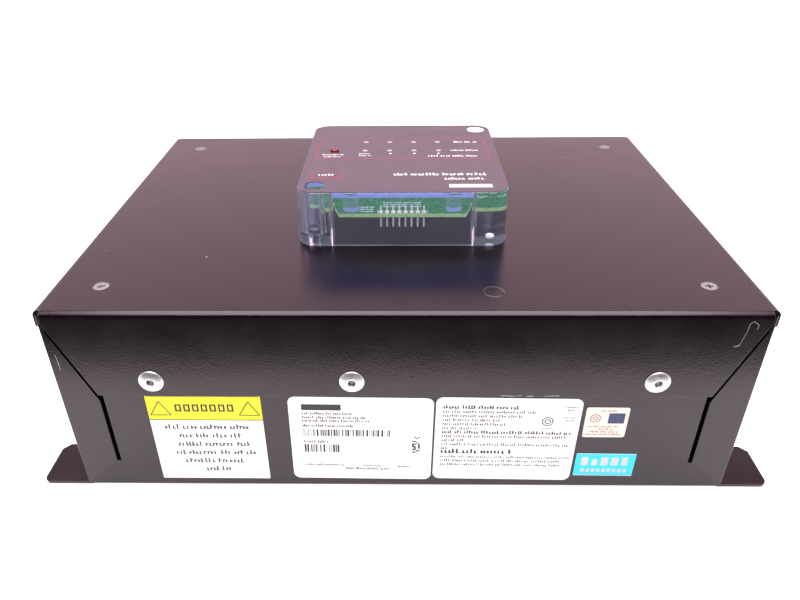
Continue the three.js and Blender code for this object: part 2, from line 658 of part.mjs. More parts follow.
function tactSwitch() {
  const half = SWITCH_SIZE / 2;
  const body = box(BUTTON.x - half, BUTTON.x + half, BUTTON.y - half, BUTTON.y + half,
    displayBoardTop + SEAT_GAP, switchTop);
  return body.subtract(rod(BUTTON.diameter + FIT_GAP, BUTTON.x, BUTTON.y, switchFloor, switchTop + 1, 20));
}

// The alarm-silence button: a long stem that stands in the switch, and a domed tip above the film.
function silenceButton() {
  const bottom = switchFloor + FIT_GAP + BUTTON.travel;
  const top = moduleTop + BUTTON.rise;
  const radius = BUTTON.diameter / 2 - FIT_GAP;
  const tipRadius = BUTTON.diameter / 2;
  const tipBottom = windowUnderside + MODULE_TOP / 2;
  return turned([
    [0, bottom], [radius, bottom], [radius, tipBottom], [tipRadius, tipBottom + 0.3],
    [tipRadius, top - 0.5], [tipRadius * 0.9, top - 0.2], [tipRadius * 0.6, top - 0.05], [0, top],
  ], 20).translate(BUTTON.x, BUTTON.y, 0);
}

function alarmBuzzer() {
  const bottom = displayBoardTop + FIT_GAP;
  const top = windowUnderside - FIT_GAP;
  return turned([[0, bottom], [6, bottom], [6, top], [1.2, top], [1.2, top - 2], [0, top - 2]], 24)
    .translate(14, 27, 0);
}

// ---------------------------------------------------------------- labels
function label(centreX, centreZ, width, height, radius, tilt) {
  const front = -panHalfDepth - SEAT_GAP;
  return alongY(roundedRectangle(width, height, radius), front - LABEL_THICKNESS, front)
    .rotate([0, tilt, 0])
    .translate(centreX, 0, centreZ);
}

// ---------------------------------------------------------------- assembly
const device = new THREE.Group();
device.name = "surge_protective_device";

function place(name, solid, finish) {
  device.add(toMesh(name, solid, finish));
}

place("rear_pan", rearPan(), blackPaint);
place("front_cover", frontCover(), blackPaint);

RIVET_XS.forEach((x, i) => {
  const seat = coverHalfDepth + SEAT_GAP;
  place(`front_rivet_${i + 1}`, facing(blindRivet(), -1).translate(x, -seat, RIVET_HEIGHT), aluminium);
  place(`back_rivet_${i + 1}`, facing(blindRivet(), 1).translate(x, seat, RIVET_HEIGHT), aluminium);
});

corners.forEach(([sideX, sideY], i) => {
  const [x, y] = [sideX * COVER_SCREW_X, sideY * COVER_SCREW_Y];
  place(`cover_screw_${i + 1}`, coverScrew().translate(x, y, 0), zincSteel);
  place(`board_post_${i + 1}`, boardPost().translate(x, y, 0), zincSteel);
});

place("ground_stud", groundStud(), blackPaint);
place("power_board", powerBoard(), greenBoard);
place("terminal_block", terminalBlock(), blackPlastic);
place("wire_entry_bushing", wireEntryBushing(), blackPlastic);
place("ribbon_socket", ribbonSocket(), blackPlastic);
place("ribbon_cable", ribbonCable(), ribbonGrey);
for (let mode = 0; mode < 4; mode += 1) {
  const x = -72 + 44 * mode;
  place(`varistor_${mode + 1}`, varistor(x, -46), varistorCoat);
  place(`thermal_fuse_${mode + 1}`, thermalFuse(x, -18), fuseBody);
}

place("display_housing", displayHousing(), clearPlastic);
place("display_overlay", displayOverlay(), greyFilm);
place("display_board", displayBoard(), greenBoard);
for (let pin = 0; pin < PIN_COUNT; pin += 1) {
  place(`header_pin_${pin + 1}`, headerPin(pin), tinned);
}
LED_ROWS.forEach((y, row) => {
  LED_COLUMNS.forEach((x, column) => {
    place(`status_led_${row * LED_COLUMNS.length + column + 1}`, statusLed(x, y), ledPlastic);
  });
});
place("tact_switch", tactSwitch(), blackPlastic);
place("silence_button", silenceButton(), redPlastic);
place("alarm_buzzer", alarmBuzzer(), blackPlastic);
signs.forEach((side, i) => {
  const [x, y] = [side * MODULE_BORE_OFFSET, MODULE_Y + side * MODULE_BORE_OFFSET];
  place(`module_screw_${i + 1}`, moduleScrew().translate(x, y, 0), darkSteel);
});

const labelFinishes = [labelYellow, labelWhite, labelWhite, labelCream, labelBlue];
LABELS.forEach(([name, ...shape], i) => place(name, label(...shape), labelFinishes[i]));

export default device;
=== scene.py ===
"""The looks of a wall-mounted surge protective device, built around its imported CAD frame.

The folded steel case, its fasteners, the clear display module and the labels are made again here
with true bends, edges and print; the parts shut inside the case keep their CAD shape.
All print is plain bars, blocks and rings. Lengths below are in millimetres until they reach a mesh.
"""
import math
import random

import bmesh
import bpy
from mathutils import Matrix, Vector


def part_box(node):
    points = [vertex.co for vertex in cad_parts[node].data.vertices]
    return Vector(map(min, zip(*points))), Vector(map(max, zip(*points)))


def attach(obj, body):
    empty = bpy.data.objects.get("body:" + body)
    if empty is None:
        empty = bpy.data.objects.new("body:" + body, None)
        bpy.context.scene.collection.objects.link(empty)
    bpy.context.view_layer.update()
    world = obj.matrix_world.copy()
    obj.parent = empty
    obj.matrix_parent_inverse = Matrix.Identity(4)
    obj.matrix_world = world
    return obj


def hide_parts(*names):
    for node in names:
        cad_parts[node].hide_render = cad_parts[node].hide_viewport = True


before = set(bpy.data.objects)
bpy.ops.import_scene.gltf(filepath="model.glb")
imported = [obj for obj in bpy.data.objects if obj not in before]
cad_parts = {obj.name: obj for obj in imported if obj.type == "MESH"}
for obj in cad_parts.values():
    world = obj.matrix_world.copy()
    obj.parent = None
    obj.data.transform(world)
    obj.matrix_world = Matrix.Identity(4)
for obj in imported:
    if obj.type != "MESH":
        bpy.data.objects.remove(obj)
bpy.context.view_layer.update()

MM = 0.001
CASE = "case"
BUTTON_BODY = "silence_button"

# ------------------------------------------------------------------ sizes
SHEET = 1.2
COVER_BEND = 2.6
PAN_BEND = 1.8
PAN_EDGE = 0.6
BEND_STEPS = 10
ROUND_STEPS = 8
EDGE_BREAK = 0.14

FLANGE_INSET = 16.9
FLANGE_SHOULDER = 82.0
CORNER_RELIEF = 0.7
MITRE_SETBACK = 2.4
LIP_HEIGHT = 8.0
LIP_RADIUS = 1.6

WALL_TOP = 62.0
SLOT_WIDTH = 1.8
SLOT_BOTTOM = 13.5
SLOT_NEAR = 115.6
ENTRY_HOLE = 28.0

EAR_LENGTH = 22.4
EAR_CHAMFER = 3.0
EAR_RADIUS = 3.0

HOUSING_RADIUS = 8.0
HOUSING_DRAFT = 0.5
HOUSING_WALL = 2.2
HOUSING_WINDOW = 2.5
HOUSING_POST = 14.8
HOUSING_FOOT = 4.0
BORE = 8.9
BOSS = 6.6
BOSS_X = 21.3
BOSS_Y = 34.3

LAMP_WINDOW = 2.5
INK = 0.02

# clockwise tilt of each label on the wall, in degrees, and its corner radius
LABEL_TILTS = {
    "two_tone_label": (0.1, 0.3),
    "barcode_label": (0.7, 3.0),
    "rating_label": (0.8, 3.0),
    "listing_label": (0.3, 1.0),
    "blue_label": (0.7, 0.4),
}

# what the glossy paint mirrors: heights are sines of elevation, colours are radiance
WALL_EDGE = (0.57, 0.67)
WALL_LIGHT = (1.45, 1.02, 1.15)
CEILING_DARK = (0.5, 0.3, 0.42)
FRONT_EDGE = (-0.55, -0.35)
FRONT_DARK = (0.03, 0.02, 0.03)
CARD_EDGE = -0.18
SOFTBOX_POWER = 28.5
SOFTBOX_SIZE = (1.1, 1.35)
SOFTBOX_PLACE = (0.0, -0.075, 0.95)
FLOOR_DROP = 0.0004
FLOOR_GLOW = 0.6
BACKDROP = (1.1, 1.1, 1.1)

# the camera: its place in millimetres, its turns in degrees
CAMERA_PLACE = (-1.38, -300.92, 217.23)
CAMERA_YAW, CAMERA_DOWN, CAMERA_ROLL = 1.228, 31.895, -0.639
CAMERA_LENS = 31.04
CAMERA_SENSOR = 36.0
CAMERA_SHIFT = (0.01685, 0.0048)

SCREW_HOLE = 4.2
BUTTON_HOLE = 4.7
RIVET_HOLE = 5.4
RIBBON_SLOT = (17, 27)
YELLOW_BAND = 12.2

CORNERS = [(-1, -1), (1, -1), (-1, 1), (1, 1)]


def box_mm(node):
    """A CAD node's lowest and highest corners, in millimetres."""
    low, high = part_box(node)
    return low / MM, high / MM


def centre_of(node):
    """The X and Y of a CAD node's centre, in millimetres."""
    low, high = box_mm(node)
    return (low.x + high.x) / 2, (low.y + high.y) / 2


COVER_LOW, COVER_HIGH = box_mm("front_cover")
PAN_HIGH = box_mm("rear_pan")[1]
HOUSING_LOW, HOUSING_HIGH = box_mm("display_housing")
OVERLAY_LOW, OVERLAY_HIGH = box_mm("display_overlay")
BOARD_HIGH = box_mm("display_board")[1]
MODULE_X = (HOUSING_LOW.x + HOUSING_HIGH.x) / 2
MODULE_Y = (HOUSING_LOW.y + HOUSING_HIGH.y) / 2
COVER_TOP = COVER_HIGH.z
FLANGE_BOTTOM = COVER_LOW.z
PAN_HALF_WIDTH = COVER_HIGH.x - SHEET - 0.05
PAN_HALF_DEPTH = PAN_HIGH.y


# ------------------------------------------------------------------ camera, floor and light
def make_camera():
    """A camera in front of the labelled wall, looking down on the cover, turned and rolled a little."""
    data = bpy.data.cameras.new("camera")
    data.lens = CAMERA_LENS
    data.sensor_width = CAMERA_SENSOR
    data.shift_x, data.shift_y = CAMERA_SHIFT
    data.clip_start = 0.01
    camera = bpy.data.objects.new("camera", data)
    camera.location = Vector(CAMERA_PLACE) * MM
    turns = [(CAMERA_YAW, "Z"), (90 - CAMERA_DOWN, "X"), (CAMERA_ROLL, "Z")]
    pose = Matrix.Identity(3)
    for angle, axis in turns:
        pose = pose @ Matrix.Rotation(math.radians(angle), 3, axis)
    camera.rotation_euler = pose.to_euler()
    bpy.context.scene.collection.objects.link(camera)
    bpy.context.scene.camera = camera


def area_light(name, location, target, size, power):
    data = bpy.data.lights.new(name, "AREA")
    data.shape = "RECTANGLE"
    data.size, data.size_y = size
    data.energy = power
    light = bpy.data.objects.new(name, data)
    light.location = location
    light.rotation_euler = (Vector(target) - Vector(location)).to_track_quat("-Z", "Y").to_euler()
    bpy.context.scene.collection.objects.link(light)


def plain_plane(name, half_x, y0, y1, z, colour, roughness, glow=0.0):
    mesh = bpy.data.meshes.new(name)
    corners = [(-half_x, y0, z), (half_x, y0, z), (half_x, y1, z), (-half_x, y1, z)]
    mesh.from_pydata(corners, [], [(0, 1, 2, 3)])
    piece = bpy.data.objects.new(name, mesh)
    bpy.context.scene.collection.objects.link(piece)
    material = bpy.data.materials.new(name)
    material.use_nodes = True
    shader = material.node_tree.nodes["Principled BSDF"]
    shader.inputs["Base Color"].default_value = (*colour, 1)
    shader.inputs["Roughness"].default_value = roughness
    shader.inputs["Emission Color"].default_value = (1, 1, 1, 1)
    shader.inputs["Emission Strength"].default_value = glow
    mesh.materials.append(material)
    return piece


def feed(tree, socket, value):
    """Links an output to the socket, or sets the socket to a number, a vector or a colour."""
    if isinstance(value, bpy.types.NodeSocket):
        tree.links.new(value, socket)
    elif isinstance(value, tuple) and socket.type == "RGBA":
        socket.default_value = (*value, 1)
    else:
        socket.default_value = value


def add_node(tree, kind, **values):
    """A new node; each value is named as its socket, with _ for a space."""
    node = tree.nodes.new(f"ShaderNode{kind}")
    for name, value in values.items():
        feed(tree, node.inputs[name.replace("_", " ")], value)
    return node


def mixed(tree, factor, first, second):
    """The output of a colour mix; its sockets share names, so they are taken by number."""
    node = add_node(tree, "Mix")
    node.data_type = "RGBA"
    for index, value in zip((0, 6, 7), (factor, first, second)):
        feed(tree, node.inputs[index], value)
    return node.outputs[2]


def two_tone(tree, value, edge, low, high):
    """One colour below an edge and another above it, with a soft step between."""
    ramp = add_node(tree, "MapRange", From_Min=edge[0], From_Max=edge[1], Value=value)
    ramp.interpolation_type = "SMOOTHSTEP"
    return mixed(tree, ramp.outputs["Result"], low, high)


def make_world():
    """White behind the object; what the paint mirrors is a warm wall that darkens higher up."""
    world = bpy.data.worlds.new("studio")
    bpy.context.scene.world = world
    world.use_nodes = True
    tree = world.node_tree
    direction = add_node(tree, "TexCoord").outputs["Generated"]
    split = add_node(tree, "SeparateXYZ", Vector=direction)
    wall = two_tone(tree, split.outputs["Z"], WALL_EDGE, WALL_LIGHT, CEILING_DARK)
    front = two_tone(tree, split.outputs["Y"], FRONT_EDGE, (0, 0, 0), (1, 1, 1))
    shade = mixed(tree, front, FRONT_DARK, wall)
    seen = mixed(tree, add_node(tree, "LightPath").outputs["Is Camera Ray"], shade, BACKDROP)
    feed(tree, tree.nodes["Background"].inputs["Color"], seen)


def make_stage():
    plain_plane("floor", 3.0, -3.0, 3.0, -FLOOR_DROP, (0.9, 0.9, 0.9), 0.6, FLOOR_GLOW)
    # A dark card on the floor in front, out of the camera's sight: the cover's flange mirrors it.
    card = plain_plane("dark_card", 0.9, -1.6, CARD_EDGE, 0.0, (0.02, 0.018, 0.02), 0.8)
    card.visible_camera = False
    card.visible_shadow = False
    card.visible_diffuse = False
    make_world()
    area_light("softbox", SOFTBOX_PLACE, (0.0, -0.0751, 0), SOFTBOX_SIZE, SOFTBOX_POWER)
    bpy.context.scene.view_settings.view_transform = "Standard"
    bpy.context.scene.view_settings.exposure = 0.0


# ------------------------------------------------------------------ node materials
class Paintbox:
    """One node material: a Principled shader and short calls for the nodes that drive it."""

    def __init__(self, name):
        self.material = bpy.data.materials.new(name)
        self.material.use_nodes = True
        self.tree = self.material.node_tree
        self.shader = self.tree.nodes["Principled BSDF"]
        self.coordinates = self.tree.nodes.new("ShaderNodeTexCoord").outputs["Object"]

    def set(self, **values):
        for name, value in values.items():
            socket = self.shader.inputs[name.replace("_", " ")]
            socket.default_value = (*value, 1) if isinstance(value, tuple) else value
        return self

    def link(self, output, name):
        self.tree.links.new(output, self.shader.inputs[name])

    def add(self, kind, **values):
        return add_node(self.tree, kind, **values)

    def stretched(self, stretch):
        return self.add("Mapping", Scale=stretch, Vector=self.coordinates).outputs["Vector"]

    def noise(self, scale, detail=3.0, roughness=0.55, stretch=(1, 1, 1)):
        source = self.coordinates if stretch == (1, 1, 1) else self.stretched(stretch)
        node = self.add("TexNoise", Scale=scale, Detail=detail, Roughness=roughness, Vector=source)
        return node.outputs["Fac"]

    def cells(self, scale, stretch=(1, 1, 1)):
        return self.add("TexVoronoi", Scale=scale, Vector=self.stretched(stretch)).outputs

    def ranged(self, value, low, high, to_low, to_high):
        node = self.add("MapRange", From_Min=low, From_Max=high, To_Min=to_low, To_Max=to_high, Value=value)
        return node.outputs["Result"]

    def math(self, operation, a, b):
        node = self.add("Math")
        node.operation = operation
        for socket, value in zip(node.inputs, (a, b)):
            feed(self.tree, socket, value)
        return node.outputs[0]

    def mix(self, factor, first, second):
        return mixed(self.tree, factor, first, second)

    def bump(self, height, strength, distance, below=None):
        node = self.add("Bump", Strength=strength, Distance=distance, Height=height)
        if below is not None:
            feed(self.tree, node.inputs["Normal"], below)
        self.link(node.outputs["Normal"], "Normal")
        return node.outputs["Normal"]


def powder_coat(name, base, lift, roughness):
    """Black powder coat: a fine orange peel, faint cloudiness, dust specks."""
    box = Paintbox(name).set(Metallic=0.0, Specular_IOR_Level=0.5)
    box.shader.inputs["Specular Tint"].default_value = (1.0, 0.86, 0.95, 1)
    cloud = box.noise(22, 4)
    grain = box.noise(1500, 2)
    colour = box.mix(box.ranged(cloud, 0.3, 0.7, 0.0, 1.0), base, lift)
    colour = box.mix(box.ranged(grain, 0.35, 0.7, 0.0, 0.35), colour, tuple(1.6 * c for c in lift))
    cells = box.cells(130)
    size = box.ranged(cells["Color"], 0.0, 1.0, 0.0, 0.075)
    chosen = box.math("GREATER_THAN", box.noise(37, 2), 0.6)
    speck = box.math("MULTIPLY", box.math("LESS_THAN", cells["Distance"], size), chosen)
    colour = box.mix(box.math("MULTIPLY", speck, 0.6), colour, (0.42, 0.4, 0.42))
    box.link(colour, "Base Color")
    box.link(box.ranged(box.noise(60, 5), 0.3, 0.7, roughness - 0.04, roughness + 0.05), "Roughness")
    peel = box.bump(box.noise(260, 2), 0.05, 0.0004)
    box.bump(grain, 0.4, 0.00012, peel)
    return box.material


def worn_edge_paint_with_painted_highlight(name):
    """The paint of a folded sheet's edges: patches of wear, and a colour lighter than the paint all along
    every edge, partly a painted highlight of the rounded edges.
    """
    box = Paintbox(name)
    wear = box.ranged(box.noise(140, 5, 0.7), 0.42, 0.62, 0.0, 1.0)
    # painted highlight: even the darker edge colour is ten times lighter than the paint, so every bevel shows
    # a light line
    box.link(box.mix(wear, (0.02, 0.014, 0.017), (0.13, 0.11, 0.118)), "Base Color")
    box.link(box.ranged(wear, 0.0, 1.0, 0.4, 0.55), "Roughness")
    return box.material


def metal(name, colour, roughness, brush=(1, 1, 1), wear=0.08):
    box = Paintbox(name).set(Metallic=1.0)
    streak = box.noise(900, 4, stretch=brush)
    dark = tuple(c * (1 - 2 * wear) for c in colour)
    box.link(box.mix(box.ranged(streak, 0.3, 0.7, 0, 1), dark, colour), "Base Color")
    box.link(box.ranged(box.noise(500, 4), 0.3, 0.7, roughness - 0.08, roughness + 0.1), "Roughness")
    box.bump(streak, 0.12, 0.00004)
    return box.material


def plastic(name, colour, roughness, grain=900, depth=0.00003, spread=0.1, specular=0.5):
    box = Paintbox(name).set(Specular_IOR_Level=specular)
    dark = tuple(c * (1 - spread) for c in colour)
    light = tuple(min(1.0, c * (1 + spread)) for c in colour)
    box.link(box.mix(box.ranged(box.noise(45, 4), 0.3, 0.7, 0, 1), dark, light), "Base Color")
    box.link(box.ranged(box.noise(240, 3), 0.3, 0.7, roughness - 0.05, roughness + 0.06), "Roughness")
    box.bump(box.noise(grain, 3), 0.2, depth)
    return box.material


def clear_plastic(name, tint, roughness):
    """Clear polycarbonate that bends what is seen through it and lets the lamps' light in."""
    box = Paintbox(name).set(Transmission_Weight=1.0, IOR=1.57, Base_Color=tint)
    box.link(box.ranged(box.noise(30, 3), 0.3, 0.7, roughness, roughness + 0.035), "Roughness")
    box.bump(box.noise(55, 2), 0.04, 0.0004)

    def blend(factor, *shaders):
        node = box.add("MixShader", Fac=factor)
        for socket, shader in zip(node.inputs[1:], shaders):
            feed(box.tree, socket, shader.outputs[0])
        return node

    haze = box.add("BsdfDiffuse", Color=(0.68, 0.7, 0.85))
    see_through = box.add("BsdfTransparent", Color=(0.9, 0.91, 0.95))
    in_shadow = box.add("LightPath").outputs["Is Shadow Ray"]
    switch = blend(in_shadow, blend(0.05, box.shader, haze), see_through)
    feed(box.tree, box.tree.nodes["Material Output"].inputs["Surface"], switch.outputs[0])
    return box.material


def solder_mask(name):
    """Green solder mask with tracks showing through it on the faces, pale glass-epoxy on the edges."""
    box = Paintbox(name).set(Specular_IOR_Level=0.25)
    weave = box.noise(700, 2)
    cells = box.cells(420, (1, 0.35, 1))
    track = box.ranged(cells["Distance"], 0.42, 0.5, 0.0, 0.55)
    face = box.mix(track, (0.002, 0.07, 0.01), (0.003, 0.1, 0.016))
    split = box.add("SeparateXYZ", Vector=box.add("NewGeometry").outputs["Normal"])
    flat = box.math("GREATER_THAN", box.math("ABSOLUTE", split.outputs["Z"], 0), 0.5)
    edge = box.mix(box.ranged(weave, 0.3, 0.7, 0, 1), (0.3, 0.52, 0.14), (0.45, 0.66, 0.28))
    box.link(box.mix(flat, edge, face), "Base Color")
    box.link(box.ranged(weave, 0.3, 0.7, 0.22, 0.34), "Roughness")
    box.bump(track, 0.25, 0.00006)
    return box.material


def paper(name, colour, roughness=0.4):
    """A printed polyester label: faint mottling and a little waviness."""
    box = Paintbox(name).set(Specular_IOR_Level=0.45)
    dark = tuple(c * 0.95 for c in colour)
    box.link(box.mix(box.ranged(box.noise(80, 4), 0.3, 0.7, 0, 1), dark, colour), "Base Color")
    box.link(box.ranged(box.noise(200, 3), 0.3, 0.7, roughness - 0.05, roughness + 0.05), "Roughness")
    box.bump(box.noise(70, 2), 0.08, 0.0003)
    return box.material


def printed_film(name, colour):
    box = Paintbox(name).set(Specular_IOR_Level=0.25)
    dark = tuple(c * 0.9 for c in colour)
    box.link(box.mix(box.ranged(box.noise(18, 5), 0.3, 0.7, 0, 1), dark, colour), "Base Color")
    box.link(box.ranged(box.noise(120, 4), 0.3, 0.7, 0.36, 0.46), "Roughness")
    box.bump(box.noise(2600, 2), 0.12, 0.00002)
    return box.material


PAINT = powder_coat("black_powder_coat", (0.002, 0.0008, 0.0015), (0.003, 0.0012, 0.0024), 0.2)
# bevels of the case: worn paint, and a painted highlight along every edge
PAINT_EDGE_WEAR_AND_HIGHLIGHT = worn_edge_paint_with_painted_highlight("worn_paint_edge_painted_highlight")
BARE_CUT = metal("scraped_steel", (0.6, 0.58, 0.58), 0.45)
RIVET_ALUMINIUM = metal("rivet_aluminium", (0.9, 0.89, 0.9), 0.42)
MANDREL_STEEL = metal("mandrel_steel", (0.32, 0.31, 0.33), 0.45)
ZINC = metal("bright_zinc", (0.34, 0.33, 0.33), 0.42)
DARK_STEEL = metal("dark_screw_steel", (0.09, 0.09, 0.1), 0.35)
# painted sheen: a pale, non-metallic cream stands in for the shine of the tinned pins and pads
PALE_TIN_PAINTED_SHEEN = plastic("tinned_pin_painted_sheen", (0.75, 0.68, 0.52), 0.3)
CLEAR = clear_plastic("clear_polycarbonate", (0.86, 0.88, 1.0), 0.015)
FILM = printed_film("grey_printed_film", (0.075, 0.052, 0.07))
BOARD_GREEN = solder_mask("green_solder_mask")
# pale plastic, used only as painted highlights in the clear posts' feet
PAINTED_HIGHLIGHT_WHITE = plastic("painted_highlight_white", (0.8, 0.8, 0.85), 0.5)
# painted light: the film's underside is made a bright blue to brighten the clear module
FILM_BACK_PAINTED_LIGHT = plastic("film_back_painted_light", (0.26, 0.36, 0.92), 0.4)
LAMP_CLEAR = plastic("frosted_lamp", (0.28, 0.26, 0.29), 0.35, specular=0.3)
RED_BUTTON = plastic("red_button_plastic", (0.12, 0.004, 0.004), 0.25)
BLACK_NYLON = plastic("black_nylon", (0.02, 0.02, 0.022), 0.5)
RIBBON_GREY = plastic("ribbon_jacket", (0.32, 0.33, 0.36), 0.5)
VARISTOR_BLUE = plastic("varistor_epoxy", (0.03, 0.07, 0.22), 0.45, 300, 0.0001)
FUSE_TUBE = plastic("fuse_tube", (0.6, 0.56, 0.48), 0.5)
LABEL_WHITE = paper("label_white", (0.86, 0.86, 0.86))
LABEL_YELLOW = paper("label_yellow", (0.8, 0.73, 0.001), 0.5)
LABEL_CREAM = paper("label_cream", (0.72, 0.66, 0.58))
LABEL_BLUE = paper("label_blue", (0.015, 0.6, 0.8))
INK_DARK = plastic("ink_dark", (0.012, 0.008, 0.012), 0.45)
INK_GREY = plastic("ink_grey", (0.035, 0.028, 0.045), 0.45)
INK_BROWN = plastic("ink_brown", (0.3, 0.14, 0.1), 0.45)
INK_NAVY = plastic("ink_navy", (0.012, 0.025, 0.1), 0.4)
INK_WHITE = plastic("ink_white", (0.55, 0.54, 0.55), 0.45)
INK_RED = plastic("ink_red", (0.125, 0.03, 0.042), 0.45)
INK_DARK_RED = plastic("ink_dark_red", (0.16, 0.012, 0.025), 0.45)


# ------------------------------------------------------------------ mesh building
def mesh_of(build):
    """The mesh that build(bm) makes, in metres."""
    bm = bmesh.new()
    build(bm)
    bmesh.ops.recalc_face_normals(bm, faces=bm.faces)
    mesh = bpy.data.meshes.new("shape")
    bm.to_mesh(mesh)
    bm.free()
    return mesh


def skin(bm, loops):
    """Caps the first and last loops, skins what lies between them, and returns the faces."""
    faces = [bm.faces.new(loops[0]), bm.faces.new(loops[-1])]
    for lower, upper in zip(loops, loops[1:]):
        for i in range(len(lower)):
            j = (i + 1) % len(lower)
            faces.append(bm.faces.new((lower[i], lower[j], upper[j], upper[i])))
    return faces


def place_axis(axis, a, b, t):
    """A point from two outline coordinates and the place along the extrusion's axis."""
    point = {"x": (t, a, b), "y": (a, t, b), "z": (a, b, t)}[axis]
    return Vector(point) * MM


def prism(outline, axis, low, high):
    def build(bm):
        skin(bm, [[bm.verts.new(place_axis(axis, a, b, t)) for a, b in outline] for t in (low, high)])
    return mesh_of(build)


def block(x0, x1, y0, y1, z0, z1):
    return prism([(x0, y0), (x1, y0), (x1, y1), (x0, y1)], "z", z0, z1)


def arc(centre, radius, start, end, steps):
    """Points on an arc, angles in degrees, both ends included."""
    angles = [math.radians(start + (end - start) * i / steps) for i in range(steps + 1)]
    return [(centre[0] + radius * math.cos(a), centre[1] + radius * math.sin(a)) for a in angles]


def rounded_rectangle(width, depth, radius, centre=(0, 0), steps=ROUND_STEPS):
    x, y = width / 2 - radius, depth / 2 - radius
    points = []
    for (sx, sy), start in zip([(1, -1), (1, 1), (-1, 1), (-1, -1)], (-90, 0, 90, 180)):
        points += arc((centre[0] + sx * x, centre[1] + sy * y), radius, start, start + 90, steps)
    return points


def circle(diameter, x, y, steps=32):
    return arc((x, y), diameter / 2, 0, 360 * (1 - 1 / steps), steps - 1)


def loft(rings):
    """A closed solid through rings of points with the same count, each ring at its own height."""
    def build(bm):
        skin(bm, [[bm.verts.new(Vector((x, y, z)) * MM) for x, y in points] for points, z in rings])
    return mesh_of(build)


def turned(profile, segments=32):
    """A solid of revolution about Z; profile points are (radius, height), axis points have radius 0."""
    def build(bm):
        rings = []
        for radius, z in profile:
            if radius == 0:
                rings.append([bm.verts.new(Vector((0, 0, z)) * MM)])
                continue
            turns = [2 * math.pi * i / segments for i in range(segments)]
            rings.append([
                bm.verts.new(Vector((radius * math.cos(a), radius * math.sin(a), z)) * MM) for a in turns])
        pairs = list(zip(rings, rings[1:]))
        if profile[0][0] != 0:
            pairs.append((rings[-1], rings[0]))
        for lower, upper in pairs:
            for i in range(segments):
                j = (i + 1) % segments
                around = ((lower, i), (lower, j), (upper, j), (upper, i))
                corners = [ring[k % len(ring)] for ring, k in around]
                unique = list(dict.fromkeys(corners))
                if len(unique) >= 3:
                    bm.faces.new(unique)
    return mesh_of(build)


def moved(mesh, x=0.0, y=0.0, z=0.0, turn=None):
    """The mesh turned about the row's origin and then moved, in millimetres."""
    if turn is not None:
        mesh.transform(turn)
    mesh.transform(Matrix.Translation(Vector((x, y, z)) * MM))
    return mesh


def combined(base, *steps):
    """base with each (operation, mesh) applied in turn."""
    scene = bpy.context.scene.collection
    target = bpy.data.objects.new("target", base)
    scene.objects.link(target)
    for operation, mesh in steps:
        tool = bpy.data.objects.new("tool", mesh)
        scene.objects.link(tool)
        modifier = target.modifiers.new("cut", "BOOLEAN")
        modifier.operation = operation
        modifier.solver = "EXACT"
        modifier.object = tool
        depsgraph = bpy.context.evaluated_depsgraph_get()
        result = bpy.data.meshes.new_from_object(target.evaluated_get(depsgraph))
        target.modifiers.clear()
        target.data = result
        bpy.data.objects.remove(tool)
    result = target.data
    bpy.data.objects.remove(target)
    return result


def cut(mesh, *tools):
    return combined(mesh, *[("DIFFERENCE", tool) for tool in tools])


def joined(mesh, *others):
    return combined(mesh, *[("UNION", other) for other in others])


def piece(name, mesh, materials, body=CASE, stands_for=(), slot=None,
          edge=0.0, edge_material=0, sharp=32):
    """A shown piece: edges broken by edge mm, smooth shading up to the sharp angle."""
    thing = bpy.data.objects.new(name, mesh)
    bpy.context.scene.collection.objects.link(thing)
    mesh.materials.clear()
    for material in materials:
        mesh.materials.append(material)
    if edge:
        bevel = thing.modifiers.new("edge", "BEVEL")
        bevel.width = edge * MM
        bevel.segments = 2
        bevel.limit_method = "ANGLE"
        bevel.angle_limit = math.radians(sharp)
        bevel.use_clamp_overlap = True
        bevel.material = edge_material
        depsgraph = bpy.context.evaluated_depsgraph_get()
        mesh = bpy.data.meshes.new_from_object(thing.evaluated_get(depsgraph))
        thing.modifiers.clear()
        thing.data = mesh
    clean(mesh, sharp)
    weigh = thing.modifiers.new("normals", "WEIGHTED_NORMAL")
    weigh.keep_sharp = True
    thing.name = name
    thing.data.name = name
    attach(thing, body)
    if stands_for:
        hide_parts(*stands_for)
    return thing


def clean(mesh, sharp):
    """Drops slivers and marks the edges steeper than the sharp angle."""
    bm = bmesh.new()
    bm.from_mesh(mesh)
    bmesh.ops.dissolve_degenerate(bm, dist=1e-7, edges=bm.edges)
    limit = math.radians(sharp)
    for edge in bm.edges:
        edge.smooth = len(edge.link_faces) == 2 and edge.calc_face_angle(0) < limit
    for face in bm.faces:
        face.smooth = True
    bm.to_mesh(mesh)
    bm.free()


# ------------------------------------------------------------------ folded steel case
def folded_section(half_width, top, leg_bottom):
    """A folded sheet's section: a web with a leg down each side, bends on both faces."""
    inner, inner_radius = half_width - SHEET, COVER_BEND - SHEET
    outer_centre, inner_top = half_width - COVER_BEND, top - COVER_BEND
    return [
        (-half_width, leg_bottom), (-inner, leg_bottom),
        *arc((-inner + inner_radius, inner_top), inner_radius, 180, 90, BEND_STEPS),
        *arc((inner - inner_radius, inner_top), inner_radius, 90, 0, BEND_STEPS),
        (inner, leg_bottom), (half_width, leg_bottom),
        *arc((outer_centre, inner_top), COVER_BEND, 0, 90, BEND_STEPS),
        *arc((-outer_centre, inner_top), COVER_BEND, 90, 180, BEND_STEPS),
    ]


def lip_corner(side):
    """What is cut off the end of a side lip, so that the lip ends in an arc."""
    end, low = side * (COVER_HIGH.y - COVER_BEND), COVER_TOP - LIP_HEIGHT
    centre = (end - side * LIP_RADIUS, low + LIP_RADIUS)
    quarter = arc(centre, LIP_RADIUS, 270, 360 if side > 0 else 180, ROUND_STEPS)
    return [(end + side, low - 1), (centre[0], low - 1), *quarter, (end + side, centre[1])]


def countersink(x, y):
    top, under = COVER_TOP, COVER_TOP - SHEET
    profile = [(0, under - 1), (2.1, under - 1), (2.1, under), (3.05, top), (3.05, top + 1), (0, top + 1)]
    return moved(turned(profile), x, y)


